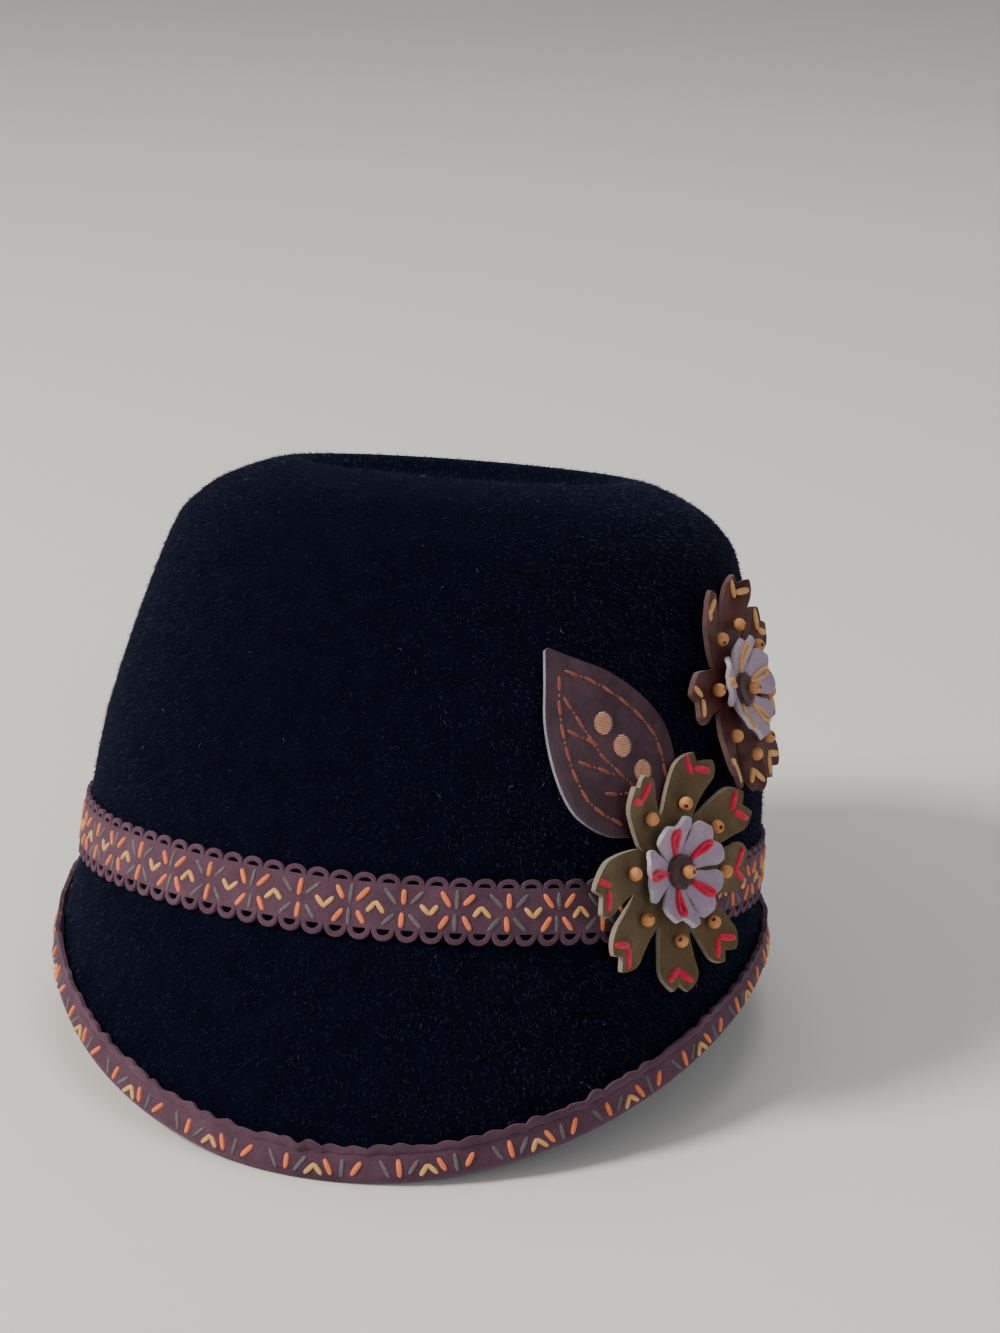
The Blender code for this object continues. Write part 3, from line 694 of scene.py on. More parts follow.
dice = np.random.default_rng(11)
spots, around, upward, outward = scattered(bare_felt, NAP_HAIRS, dice)
swirl = dice.normal(0.0, NAP_SWIRL, (NAP_HAIRS, 1))
lie = dice.uniform(*NAP_LIE, (NAP_HAIRS, 1))
lengthwise = np.cos(lie) * outward + np.sin(lie) * (np.sin(swirl) * around - np.cos(swirl) * upward)
side = np.cross(outward, lengthwise)
side /= np.linalg.norm(side, axis=1, keepdims=True)
lengths = NAP_LENGTH * dice.uniform(*NAP_LENGTHS, (NAP_HAIRS, 1))
nap_places = stood_on(spots, side, np.cross(lengthwise, side), lengthwise, NAP_WIDTH, lengths)
piece("felt_nap", joined_copies(hair_template(), nap_places), [NAP_PAINTED_GLINT])

# %% [markdown]
# A bit of lint is a short bent fibre that lies on the nap.  Straight spikes would pass for hairs, so a
# three-sided thread is spun through a small arc, and each copy has a size and a heading of its own.

# %% Lint
LINT_FIBRES = 320
LINT_SIZE = 0.8 * MM
LINT_SIZES = (0.3, 1.5)
LINT_BEND = 1.2
LINT_HEIGHT = 0.45 * MM
LINT_THREAD = 0.035
LINT_STEPS = 7
spots, around, upward, outward = scattered(bare_felt, LINT_FIBRES, dice)
swirl = dice.uniform(0.0, 2.0 * math.pi, (LINT_FIBRES, 1))
side = np.cos(swirl) * around + np.sin(swirl) * upward
sizes = LINT_SIZE * dice.uniform(*LINT_SIZES, (LINT_FIBRES, 1))
fibre = bmesh.new()
bmesh.ops.create_circle(
    fibre, segments=3, radius=LINT_THREAD, matrix=Matrix.Rotation(math.pi / 2, 4, "X"))
bmesh.ops.translate(fibre, verts=fibre.verts, vec=(1.0, 0.0, 0.0))
bmesh.ops.spin(
    fibre, geom=fibre.verts[:] + fibre.edges[:], cent=(0.0, 0.0, 0.0), axis=(0.0, 0.0, 1.0), angle=LINT_BEND,
    steps=LINT_STEPS)
lint_places = stood_on(spots + outward * LINT_HEIGHT, side, np.cross(outward, side), outward, sizes, sizes)
piece("felt_lint", joined_copies(fibre, lint_places), [LINT])

# %% [markdown]
# ## The scalloped strip
# The trim is bought by the metre: a flat suede strip with a row of scallops along each edge, each
# pierced with a half-moon.  One scallop's worth is made flat, its arches by spinning a short edge half
# a turn, and it is copied along the whole length and bent round the crown.  Holes could be cut with
# booleans too, but copies of one clean unit keep every arch alike.  The upper arches are pressed lower.

# %% One scallop's worth of strip
SCALLOP_PITCH = 5.9 * MM
SCALLOP_STRAND = 1.35 * MM
LOWER_OPENING = 0.95
UPPER_OPENING = 0.8
UPPER_HEIGHT = 0.78
ARCH_STEPS = 8
STRIP_COLUMNS = 4
STRIP_ROWS = 6


def scallop_unit(pitch, width):
    """A flat piece of strip, one scallop long, from y = 0 to its width."""
    shape = bmesh.new()
    radius = 0.5 * pitch
    upper = width - radius * UPPER_HEIGHT
    arches = ((radius, math.pi, LOWER_OPENING, 1.0), (upper, -math.pi, UPPER_OPENING, UPPER_HEIGHT))
    for centre, half_turn, opening, height in arches:
        older = set(shape.verts)
        inner = shape.verts.new((SCALLOP_STRAND, centre, 0.0))
        outer = shape.verts.new((0.0, centre, 0.0))
        line = shape.edges.new((inner, outer))
        bmesh.ops.spin(
            shape, geom=[inner, outer, line], cent=(radius, centre, 0.0), axis=(0.0, 0.0, 1.0),
            angle=half_turn, steps=ARCH_STEPS)
        middle = Vector((radius, centre, 0.0))
        for corner in set(shape.verts) - older:
            if (corner.co - middle).length < radius - 0.5 * SCALLOP_STRAND:
                corner.co.y = centre + (corner.co.y - centre) * opening
            corner.co.y = centre + (corner.co.y - centre) * height
    made = bmesh.ops.create_grid(shape, x_segments=STRIP_COLUMNS, y_segments=STRIP_ROWS, size=1.0)
    for corner in made["verts"]:
        column = round(0.5 * (corner.co.x + 1.0) * STRIP_COLUMNS)
        row = 0.5 * (corner.co.y + 1.0)
        inside = pitch - 2.0 * SCALLOP_STRAND
        stops = (0.0, SCALLOP_STRAND, SCALLOP_STRAND + 0.5 * inside, pitch - SCALLOP_STRAND, pitch)
        corner.co = (stops[column], radius + row * (upper - radius), 0.0)
    return shape


trial = scallop_unit(SCALLOP_PITCH, 3.0 * SCALLOP_PITCH)
print("one scallop's worth has", len(trial.faces), "faces")
trial.free()

# %% [markdown]
# A strip is cut to go round the hat with whole scallops, so its pitch is stretched by a hair until they
# fit.  A curve modifier could bend it, but placing each corner by its running length keeps the pitch
# even where the head oval turns sharply.

# %% A length of strip
def bent_strip(whole, width, place_at):
    """Strip of a whole length, bent by place_at(length, climb); its ends meet."""
    count = round(whole / SCALLOP_PITCH)
    pitch = whole / count
    places = [Matrix.Translation((index * pitch, 0.0, 0.0)) for index in range(count)]
    shape = joined_copies(scallop_unit(pitch, width), places)
    for corner in shape.verts:
        corner.co = place_at(min(corner.co.x, whole), corner.co.y)
    face_outwards(shape, Vector((1.0, 0.0, 0.0)))
    return shape


def running_lengths(point_at, samples=1440):
    """Length run and turn reached, round a closed curve."""
    turns = np.linspace(0.0, 2.0 * math.pi, samples + 1)
    points = [point_at(float(turn)) for turn in turns]
    spans = [(b - a).length for a, b in zip(points, points[1:])]
    return np.concatenate(([0.0], np.cumsum(spans))), turns


head_lengths, head_turns = running_lengths(lambda turn: section_point(CROWN_SECTIONS[0], turn))
rim_lengths, rim_turns = running_lengths(lambda turn: brim_point(turn, 1.0))
print("round the band", head_lengths[-1] / MM, "round the rim", rim_lengths[-1] / MM)

# %% [markdown]
# ## The band
# The band lies on the crown wall a hair's breadth off the felt, and it wavers a little, as a strip sewn
# by hand does.  Its wall grows outwards from there, and a small bevel takes the sharpness off the cut
# arches.

# %% Band round the crown
BAND_WIDTH = 16.8 * MM
BAND_WALL = 1.2 * MM
BAND_WAVER = 0.45 * MM
WAVERS_ROUND = 2.5
BAND_SOFTNESS = 0.22 * MM


def noise_round(turn, layer, waves):
    """Smooth noise round the hat, about -1 to 1; each layer has waves of its own."""
    return noise.noise(Vector((math.cos(turn), math.sin(turn), layer)) * waves)


def band_frame(length, climb):
    """Axes on the band's back at a running length and a climb up the wall."""
    turn = float(np.interp(length % head_lengths[-1], head_lengths, head_turns))
    rise = (crown_point(turn, BAND_WIDTH) - crown_point(turn, 0.0)).length
    wavered = climb + BAND_WAVER * (1.0 + noise_round(turn, 2.0, WAVERS_ROUND))
    place = crown_frame(turn, wavered * BAND_WIDTH / rise)
    return place @ Matrix.Translation((0.0, 0.0, GAP))


band_shape = bent_strip(
    head_lengths[-1], BAND_WIDTH, lambda length, climb: band_frame(length, climb).translation)
band = piece("suede_band", band_shape, [TRIM], ["hat_band"])
give_wall(band, BAND_WALL, 1.0)
soften_edges(band, BAND_SOFTNESS)

# %% [markdown]
# ## The rim binding
# The same trim is folded over the felt's edge.  Its section is a U: a flap outside, a half circle under
# the edge and a flap inside.  Folding shuts the pierced scallops, so the binding is a plain sleeve of
# many columns, and what is left of the scallops is a rolled, wavy lip over a crease.  Where the hat
# rests, the fold is pressed flat on the table.

# %% The lip of the binding
LIP_LIFT = 0.8 * MM
LIP_DEPTH = 1.8 * MM
CREASE = 0.4 * MM
CREASE_HALF_WIDTH = 0.6 * MM
WAVE = 1.25 * MM
WAVE_DEPTH = 3.4 * MM
LIP_WAVERS = 9.0
LIP_PLEATS = 23.0
LIP_ROUNDNESS = 0.7
LIP_SCALLOP = 0.55
LIP_SCALLOP_CHANGE = 0.7
LIP_PLEAT = 0.8
LIP_PULL = 0.35
fold_radius = 0.5 * FELT_WALL + GAP + 0.5 * BINDING_WALL
fold_drop = GAP + 0.5 * BINDING_WALL - fold_radius
outer_straight = OUTER_FLAP + fold_drop
inner_straight = INNER_FLAP + fold_drop
binding_width = outer_straight + math.pi * fold_radius + inner_straight


def lip_shape(turn, length, run):
    """How far the outer flap stands off the felt and how far its edge wanders, near its lip."""
    waver = noise_round(turn, 0.0, LIP_WAVERS)
    pleat = noise_round(turn, 3.0, LIP_PLEATS)
    roll = math.sqrt(max(1.0 - (run / LIP_DEPTH)**2, 0.0))
    crease = max(1.0 - abs(run - LIP_DEPTH) / CREASE_HALF_WIDTH, 0.0)
    stand_off = LIP_LIFT * roll * (1.0 + waver) - CREASE * crease
    scallop = abs(math.sin(math.pi * length / SCALLOP_PITCH))**LIP_ROUNDNESS
    scallop *= LIP_SCALLOP + LIP_SCALLOP_CHANGE * waver
    wander = WAVE * (scallop + LIP_PLEAT * pleat - LIP_PULL)
    return stand_off, wander * max(1.0 - run / WAVE_DEPTH, 0.0)


print("the binding's strip is", round(binding_width / MM, 1), "mm wide")

# %% [markdown]
# The fold is followed by its running length too, from the inner flap's edge, round under the felt, to
# the lip.  A bevelled curve could sweep the U, but its section couldn't waver on the way round.

# %% Fold the binding over the edge
BINDING_SOFTNESS = 0.35 * MM
BINDING_COLUMNS = 720
BINDING_ROWS = 30


def binding_frame(length, climb):
    """Axes on the binding's middle surface; the climb runs from the inner flap's edge to the outer lip."""
    turn = float(np.interp(length % rim_lengths[-1], rim_lengths, rim_turns))
    run = binding_width - climb
    if run < outer_straight:
        stand_off, wander = lip_shape(turn, length, run)
        across, drop, facing = fold_radius + stand_off, run - OUTER_FLAP - wander, 0.0
    elif run < outer_straight + math.pi * fold_radius:
        facing = (run - outer_straight) / fold_radius
        across, drop = fold_radius * math.cos(facing), fold_drop + fold_radius * math.sin(facing)
    else:
        past = run - outer_straight - math.pi * fold_radius
        across, drop, facing = -fold_radius, fold_drop - past, math.pi
    place = rim_frame(turn) @ Matrix.Translation((0.0, drop, across - 0.5 * FELT_WALL))
    return place @ Matrix.Diagonal((1.0, -1.0, 1.0, 1.0)) @ Matrix.Rotation(facing, 4, "X")


lip_climbs = binding_width - np.linspace(outer_straight, 0.0, BINDING_ROWS)
binding_climbs = np.concatenate((np.linspace(0.0, lip_climbs[0], BINDING_ROWS)[:-1], lip_climbs))
binding_lengths = [rim_lengths[-1] * column / BINDING_COLUMNS for column in range(BINDING_COLUMNS)]
binding_shape = sleeve([
    [binding_frame(length, float(climb)).translation for length in binding_lengths]
    for climb in binding_climbs])
face_outwards(binding_shape, Vector((1.0, 0.0, 0.0)))
binding = piece(
    "suede_binding", binding_shape, [TRIM], ["rim_binding"], lowest=0.5 * BINDING_WALL)
give_wall(binding, BINDING_WALL, 0.0)
soften_edges(binding, BINDING_SOFTNESS)

# %% [markdown]
# ## Embroidery
# The strip is worked by hand with thick thread in a motif that repeats: a pair of upright stitches, then
# slanted pairs and little chevrons between them.  A bent tube would follow the thread better, but a
# stretched sphere with blunt ends, half sunk in the suede, looks like pulled floss and costs few faces.

# %% Stitches laid on a surface
Strand = namedtuple("Strand", "length width height")
STRANDS = {
    "orange": Strand(4.3 * MM, 1.35 * MM, 1.1 * MM),
    "grey": Strand(4.7 * MM, 1.05 * MM, 0.8 * MM),
    "ochre": Strand(3.6 * MM, 1.25 * MM, 1.0 * MM)}
STITCH_BLUNTNESS = 0.6


def stitch_template():
    shape = bmesh.new()
    bmesh.ops.create_uvsphere(shape, u_segments=8, v_segments=8, radius=0.5)
    bmesh.ops.rotate(shape, verts=shape.verts, matrix=Matrix.Rotation(math.pi / 2, 3, "X"))
    for corner in shape.verts:
        corner.co.y = math.copysign(0.5 * abs(2.0 * corner.co.y)**STITCH_BLUNTNESS, corner.co.y)
    return shape


def stitch_place(place, lean, strand):
    """A stitch on a surface's axes, turned clockwise from upright by its lean."""
    size = Matrix.Diagonal((strand.width, strand.length, strand.height, 1.0))
    return place @ Matrix.Rotation(-lean, 4, "Z") @ size


def sew(name, places, thread):
    """Join stitches of one thread into one piece."""
    return piece(name, joined_copies(stitch_template(), places), [THREAD[thread]])


print("strands", ", ".join(STRANDS))

# %% [markdown]
# The motif is a short table: which thread, how far along the repeat, which row and how far it leans.
# Placing each stitch by hand would be truer to the hand-work, but a repeat with a little unevenness
# reads the same.  The binding shows only one row, because the rest of the motif is folded under.

# %% The motif
Stroke = namedtuple("Stroke", "thread share row lean")
BAND_MOTIF = (
    Stroke("orange", 0.000, 1, 0), Stroke("orange", 0.000, -1, 0),
    Stroke("grey", 0.125, 1, 42), Stroke("grey", 0.125, -1, -42),
    Stroke("ochre", 0.210, 0, -42), Stroke("ochre", 0.290, 0, 42),
    Stroke("orange", 0.395, 1, -32), Stroke("orange", 0.395, -1, 36),
    Stroke("grey", 0.500, 1, 0), Stroke("grey", 0.500, -1, 0),
    Stroke("orange", 0.615, 1, 42), Stroke("orange", 0.615, -1, -32),
    Stroke("ochre", 0.705, 0, 42), Stroke("ochre", 0.785, 0, -42),
    Stroke("grey", 0.875, 1, -42), Stroke("grey", 0.875, -1, 42),
)
RIM_MOTIF = (
    Stroke("orange", 0.000, 0, 0), Stroke("grey", 0.125, 0, 36),
    Stroke("ochre", 0.216, -0.3, 38), Stroke("ochre", 0.291, -0.3, -42),
    Stroke("orange", 0.375, 0, -24), Stroke("grey", 0.500, 0, 0),
    Stroke("orange", 0.625, 0, 34), Stroke("grey", 0.875, 0, -30),
)
MOTIF_REPEATS = 23
BAND_PHASE = 13.0 * MM
RIM_PHASE = 19.6 * MM
RIM_ROW = 0.84
ROW_CLIMB = 2.9 * MM
UNEVEN = math.radians(4.0)
STITCH_LENGTHS = (0.88, 1.08)
hand = random.Random(7)
print("strokes in a repeat", len(BAND_MOTIF), "on the band and", len(RIM_MOTIF), "on the binding")

# %% [markdown]
# Two loops carry the motif round.  An array modifier on a curve could do it, but here each stitch gets
# its own small error of length and lean, as from a needle.

# %% Embroider the band and the binding
def embroider(motif, whole, phase, middle, frame_at, surface):
    """Stitch places for each thread of a motif, repeated round a strip."""
    places = {}
    for repeat in range(MOTIF_REPEATS):
        for stroke in motif:
            length = phase + (repeat + stroke.share) * whole / MOTIF_REPEATS
            place = frame_at(length, middle + stroke.row * ROW_CLIMB)
            place = place @ Matrix.Translation((0.0, 0.0, surface))
            lean = math.radians(stroke.lean) + hand.uniform(-UNEVEN, UNEVEN)
            strand = STRANDS[stroke.thread]
            strand = strand._replace(length=strand.length * hand.uniform(*STITCH_LENGTHS))
            places.setdefault(stroke.thread, []).append(stitch_place(place, lean, strand))
    return places


band_places = embroider(BAND_MOTIF, head_lengths[-1], BAND_PHASE, 0.5 * BAND_WIDTH, band_frame, BAND_WALL)
for thread, places in band_places.items():
    sew(f"band_stitches_{thread}", places, thread)
rim_middle = binding_width - RIM_ROW * outer_straight
rim_places = embroider(RIM_MOTIF, rim_lengths[-1], RIM_PHASE, rim_middle, binding_frame, 0.5 * BINDING_WALL)
for thread, places in rim_places.items():
    sew(f"rim_stitches_{thread}", places, thread)

# %% [markdown]
# ## The leaf
# The leaf is one cut of smooth leather.  A grid takes its outline from a short table of half widths and
# is then laid on the crown, so it follows the felt at its foot and stands off at its tip.  The cut edge
# shows the paler inside of the hide, so the rim of the wall has a finish of its own.

# %% Leaf
LEAF_LENGTH = 54.0 * MM
LEAF_WIDTH = 33.0 * MM
LEAF_WALL = 1.5 * MM
LEAF_TIP_LIFT = 4.0 * MM
LEAF_FOOT_TURN = math.radians(48.6)
LEAF_FOOT_HEIGHT = 29.5 * MM
LEAF_LEAN = math.radians(40.0)
LEAF_POINT = 0.02
LEAF_SOFTNESS = 0.3 * MM
Outline = namedtuple("Outline", "along half_width")
LEAF_OUTLINE = (
    Outline(0.00, 0.36), Outline(0.12, 0.78), Outline(0.28, 1.00), Outline(0.42, 1.00),
    Outline(0.58, 0.86), Outline(0.74, 0.62), Outline(0.88, 0.30), Outline(1.00, 0.03))
leaf_foot = crown_frame(LEAF_FOOT_TURN, LEAF_FOOT_HEIGHT)


def leaf_point(along, across):
    """A point of the leaf's underside, laid on the crown."""
    right = across * math.cos(LEAF_LEAN) - along * math.sin(LEAF_LEAN)
    up = across * math.sin(LEAF_LEAN) + along * math.cos(LEAF_LEAN)
    height = LEAF_FOOT_HEIGHT + up * leaf_foot.col[1].z
    turn = LEAF_FOOT_TURN + right / math.hypot(leaf_foot.translation.x, leaf_foot.translation.y)
    lift = GAP + LEAF_TIP_LIFT * max(along / LEAF_LENGTH, 0.0)**2
    return crown_frame(turn, height) @ Vector((0.0, 0.0, lift))


def leaf_corner(across, along):
    row = between(LEAF_OUTLINE, along * (len(LEAF_OUTLINE) - 1))
    half = 0.5 * LEAF_WIDTH * max(row.half_width, LEAF_POINT)
    return leaf_point(LEAF_LENGTH * row.along, half * (2.0 * across - 1.0))


leaf_shape = sheet_of(20, 42, leaf_corner)
face_outwards(leaf_shape, leaf_foot.col[2].xyz)
leaf = piece("stitched_leaf", leaf_shape, [LEAF_HIDE, LEAF_EDGE], ["leaf"])
give_wall(leaf, LEAF_WALL, 1.0, rim=1)
soften_edges(leaf, LEAF_SOFTNESS)

# %% [markdown]
# The leaf is sewn with a running stitch inside its edge, a midrib and side veins, and three ovals of
# satin stitch, which is many stitches laid side by side.

# %% Stitches of the leaf
RUN_STITCH = Strand(4.0 * MM, 0.95 * MM, 0.7 * MM)
RUN_KNOT = Strand(0.9 * MM, 0.55 * MM, 0.5 * MM)
RUN_SPACE = 1.7 * MM
LEAF_INSET = 4.6 * MM
EDGE_SAMPLES = 6
EDGE_PLACES = range(EDGE_SAMPLES, 6 * EDGE_SAMPLES + 2)


def leaf_frame(along, across, heading):
    """Axes on the leaf's face with Y along a heading in the leaf's own plane."""
    step = 0.4 * MM
    forward = leaf_point(along + step, across) - leaf_point(along - step, across)
    sideways = leaf_point(along, across + step) - leaf_point(along, across - step)
    normal = sideways.cross(forward).normalized()
    ahead = (forward.normalized() * heading[0] + sideways.normalized() * heading[1]).normalized()
    place = axes_at(leaf_point(along, across), ahead.cross(normal).normalized(), ahead, normal)
    return place @ Matrix.Translation((0.0, 0.0, LEAF_WALL))


def run_along(route):
    """Long stitches with a short one between them, along a route of (along, across) points."""
    route = [Vector(point) for point in route]
    spans = [(b - a).length for a, b in zip(route, route[1:])]
    ends = np.concatenate(([0.0], np.cumsum(spans)))
    half_step = 0.5 * (RUN_STITCH.length + RUN_SPACE)
    places = []
    for count in range(int((ends[-1] - 0.5 * RUN_STITCH.length) / half_step) + 1):
        position = 0.5 * RUN_STITCH.length + count * half_step
        along = float(np.interp(position, ends, [point[0] for point in route]))
        across = float(np.interp(position, ends, [point[1] for point in route]))
        index = max(min(int(np.searchsorted(ends, position)), len(spans)), 1) - 1
        heading = (route[index + 1] - route[index]).normalized()
        strand = RUN_KNOT if count % 2 else RUN_STITCH
        places.append(stitch_place(leaf_frame(along, across, heading), 0.0, strand))
    return places


def inset_edge(side):
    """A route inside the leaf's edge, on one side of it."""
    rows = [between(LEAF_OUTLINE, index / EDGE_SAMPLES) for index in EDGE_PLACES]
    inset = []
    for row in rows:
        half = 0.5 * LEAF_WIDTH * row.half_width - LEAF_INSET
        if half > 0.0:
            inset.append((LEAF_LENGTH * row.along, side * half))
    return inset


LEAF_ROUTES = [
    inset_edge(-1.0),
    inset_edge(1.0),
    [(42.0 * MM, -3.0 * MM), (34.0 * MM, -3.0 * MM), (24.0 * MM, -3.0 * MM), (10.0 * MM, 0.0)],
    [(35.0 * MM, -7.0 * MM), (28.0 * MM, -3.0 * MM)],
    [(27.0 * MM, -9.0 * MM), (18.0 * MM, -3.0 * MM)],
    [(16.0 * MM, -8.0 * MM), (9.0 * MM, 0.0)],
]
print("routes on the leaf", len(LEAF_ROUTES))
leaf_stitches = [place for route in LEAF_ROUTES for place in run_along(route)]
sew("leaf_running_stitches", leaf_stitches, "rust")

# %% [markdown]
# Satin stitch fills an oval with threads laid side by side.  One smooth oval with a striped bump would
# be cheaper, but its edge would be too clean, and the ends of real threads leave a ragged outline.

# %% Satin ovals
OVAL_CENTRES = ((30.0 * MM, 2.0 * MM), (22.0 * MM, 3.0 * MM), (13.0 * MM, 4.0 * MM))
OVAL_STACK = 5.0 * MM
OVAL_STRAND = Strand(5.8 * MM, 0.6 * MM, 0.9 * MM)
OVAL_STITCHES = 11
OVAL_HEADING = (-0.47, 0.883)
OVAL_FULLNESS = 0.92
oval_places = []
for along, across in OVAL_CENTRES:
    for index in range(OVAL_STITCHES):
        side = 2.0 * index / (OVAL_STITCHES - 1) - 1.0
        strand = OVAL_STRAND._replace(length=OVAL_STRAND.length * math.sqrt(1.0 - (OVAL_FULLNESS * side)**2))
        place = leaf_frame(
            along + 0.5 * OVAL_STACK * side * OVAL_HEADING[1],
            across - 0.5 * OVAL_STACK * side * OVAL_HEADING[0], OVAL_HEADING)
        oval_places.append(stitch_place(place, 0.0, strand))
sew("leaf_satin_ovals", oval_places, "tan")

# %% [markdown]
# ## The flowers
# Each flower is two cuts of leather, one on the other, held by a bead on a fluffy patch.  A petal is a
# grid: near the middle its sides are shared with its neighbours, so merging doubles joins all petals
# into one cut, and further out it swells and rounds off with a small notch at its tip.  Damp leather
# dries unevenly, so each petal is lifted by its own amount.

# %% Sizes of the flowers
OUTER_WALL = 1.4 * MM
INNER_WALL = 1.2 * MM
INNER_REACH = 14.4 * MM
INNER_RISE = 2.6 * MM
ROOT_RADIUS = 13.0 * MM
INNER_ROOT_RADIUS = 4.5 * MM
PETAL_NOTCH = 0.15
INNER_NOTCH = 0.18
PETAL_ROUNDING = 0.17
PETAL_HOLLOW = 3.0 * MM
PETAL_RUFFLE = 0.5 * MM
PETAL_TWIST = 2.2 * MM
CUP_CURVE = 1.5
INNER_CURL = 1.6 * MM
INNER_RUFFLE = 0.7 * MM
RUFFLES = 9.0
RUFFLE_FLOOR = -0.2 * MM
OUTER_RUFFLE_STEP = 1.7
INNER_RUFFLE_STEP = 2.3
TWIST_STEP = 2.1
TWIST_START = 0.7
CURL_STEP = 2.6
OUTER_SOFTNESS = 0.28 * MM
INNER_SOFTNESS = 0.24 * MM
OUTER_PETALS = 8
INNER_PETALS = 5
OUTER_OUTLINE = (
    Outline(0.00, 1.00), Outline(0.22, 0.80), Outline(0.50, 0.67), Outline(0.80, 0.58), Outline(1.00, 0.44))
INNER_OUTLINE = (Outline(0.00, 0.94), Outline(0.35, 0.83), Outline(0.70, 0.79), Outline(1.00, 0.60))
print("petals", OUTER_PETALS, "outside and", INNER_PETALS, "inside")

# %% [markdown]
# Both flowers come from the same pattern, and each has its own place, spin and set of lifts, swings and
# lengths, given petal by petal.  Random values would be shorter to write, but a petal that lies
# wrong is noticed at once.

# %% The two flowers
Daisy = namedtuple("Daisy", "length half_width thread")
Flower = namedtuple("Flower", "name turn height seat reach spin inner_spin cup lifts swings lengths daisy")
LOWER = Flower(
    name="lower", turn=math.radians(52.5), height=16.5 * MM, seat=BAND_WALL + 2.0 * GAP,
    reach=32.5 * MM, spin=math.radians(-7.0), inner_spin=math.radians(37.0), cup=6.0 * MM,
    lifts=(-0.5, 0.3, -0.2, 0.7, 0.5, 0.2, 0.6, 0.5), swings=(8, -8, -20, -10, 16, 3, 0, -3),
    lengths=(0.93, 1.0, 1.0, 0.88, 1.0, 1.0, 0.96, 0.9), daisy=Daisy(7.0 * MM, 1.0 * MM, 0.68 * MM))
UPPER = Flower(
    name="upper", turn=math.radians(72.5), height=58.5 * MM, seat=GAP,
    reach=32.5 * MM, spin=math.radians(-7.0), inner_spin=math.radians(20.0), cup=9.0 * MM,
    lifts=(-0.3, 0.1, 0.3, 0.4, 0.2, 0.6, 0.45, -0.1), swings=(0, 0, -13, -14, 9, 10, 0, -4),
    lengths=(0.92, 0.95, 1.0, 0.93, 1.0, 0.98, 0.86, 0.9), daisy=Daisy(7.6 * MM, 1.3 * MM, 0.5 * MM))


print("flowers", LOWER.name, "and", UPPER.name)

# %% [markdown]
# Leather that was damp dries cupped, twisted and ruffled.  A lattice or sculpting would bend it by eye,
# but a height worked out for each place on a petal can also be asked for the seat of a bead or a stitch.

# %% How the petals lie
def petal_place(outward, sideways, height, turn):
    """A point in the flower's frame from its place on a petal that points along a turn."""
    return Matrix.Rotation(turn, 3, "Z") @ Vector((outward, sideways, height))


def outer_petals(flower):
    """The outer cut's underside: cupped, hollow across, twisted and ruffled, each petal swung a little."""
    def place_at(petal, outward, sideways):
        share = max(outward - ROOT_RADIUS, 0.0) / (flower.reach - ROOT_RADIUS)
        across = sideways / (flower.reach * math.tan(math.pi / OUTER_PETALS))
        height = flower.cup * flower.lifts[petal] * share**CUP_CURVE
        height += PETAL_HOLLOW * across**2 * share
        height += PETAL_RUFFLE * math.sin(RUFFLES * across + OUTER_RUFFLE_STEP * petal) * share**2
        height += PETAL_TWIST * across * math.sin(TWIST_STEP * petal + TWIST_START) * share
        turn = flower.spin + 2.0 * math.pi * petal / OUTER_PETALS
        return petal_place(outward, sideways, height, turn + math.radians(flower.swings[petal]) * share)
    return place_at


def inner_petals(flower):
    """The inner cut's underside: it lies on the outer flower, and its tips curl up."""
    highest = flower.cup * max(flower.lifts)

    def place_at(petal, outward, sideways):
        share = max(outward - ROOT_RADIUS, 0.0) / (flower.reach - ROOT_RADIUS)
        start = max(outward - INNER_ROOT_RADIUS, 0.0) / (INNER_REACH - INNER_ROOT_RADIUS)
        across = sideways / (INNER_REACH * math.tan(math.pi / INNER_PETALS))
        height = OUTER_WALL + GAP + highest * share**CUP_CURVE
        height += (INNER_RISE + INNER_CURL * (1.0 + math.sin(CURL_STEP * petal)) * start) * start
        ruffle = INNER_RUFFLE * math.sin(RUFFLES * across + INNER_RUFFLE_STEP * petal)
        height += max(ruffle, RUFFLE_FLOOR) * start**2
        turn = flower.inner_spin + 2.0 * math.pi * petal / INNER_PETALS
        return petal_place(outward, sideways, height, turn)
    return place_at


def flower_frame(flower):
    """Where a flower is sewn on, with Z out of the felt."""
    return crown_frame(flower.turn, flower.height) @ Matrix.Translation((0.0, 0.0, flower.seat))


print("the lower flower faces", flower_frame(LOWER).col[2].xyz)

# %% [markdown]
# Each petal is its own grid, cut after the same outline.  A disc could be cut with booleans too, but even
# rows bend more cleanly.  The grids meet near the middle, so merging doubles makes one cut of them all.

# %% Cut a flower
ROOT_ROWS = 5
PETAL_ROWS = 16
PETAL_COLUMNS = 12
PETAL_ROUNDNESS = 2.4


def absorb(whole, part):
    """Move everything of one shape into another."""
    loose = bpy.data.meshes.new("loose")
    part.to_mesh(loose)
    part.free()
    whole.from_mesh(loose)
    bpy.data.meshes.remove(loose)


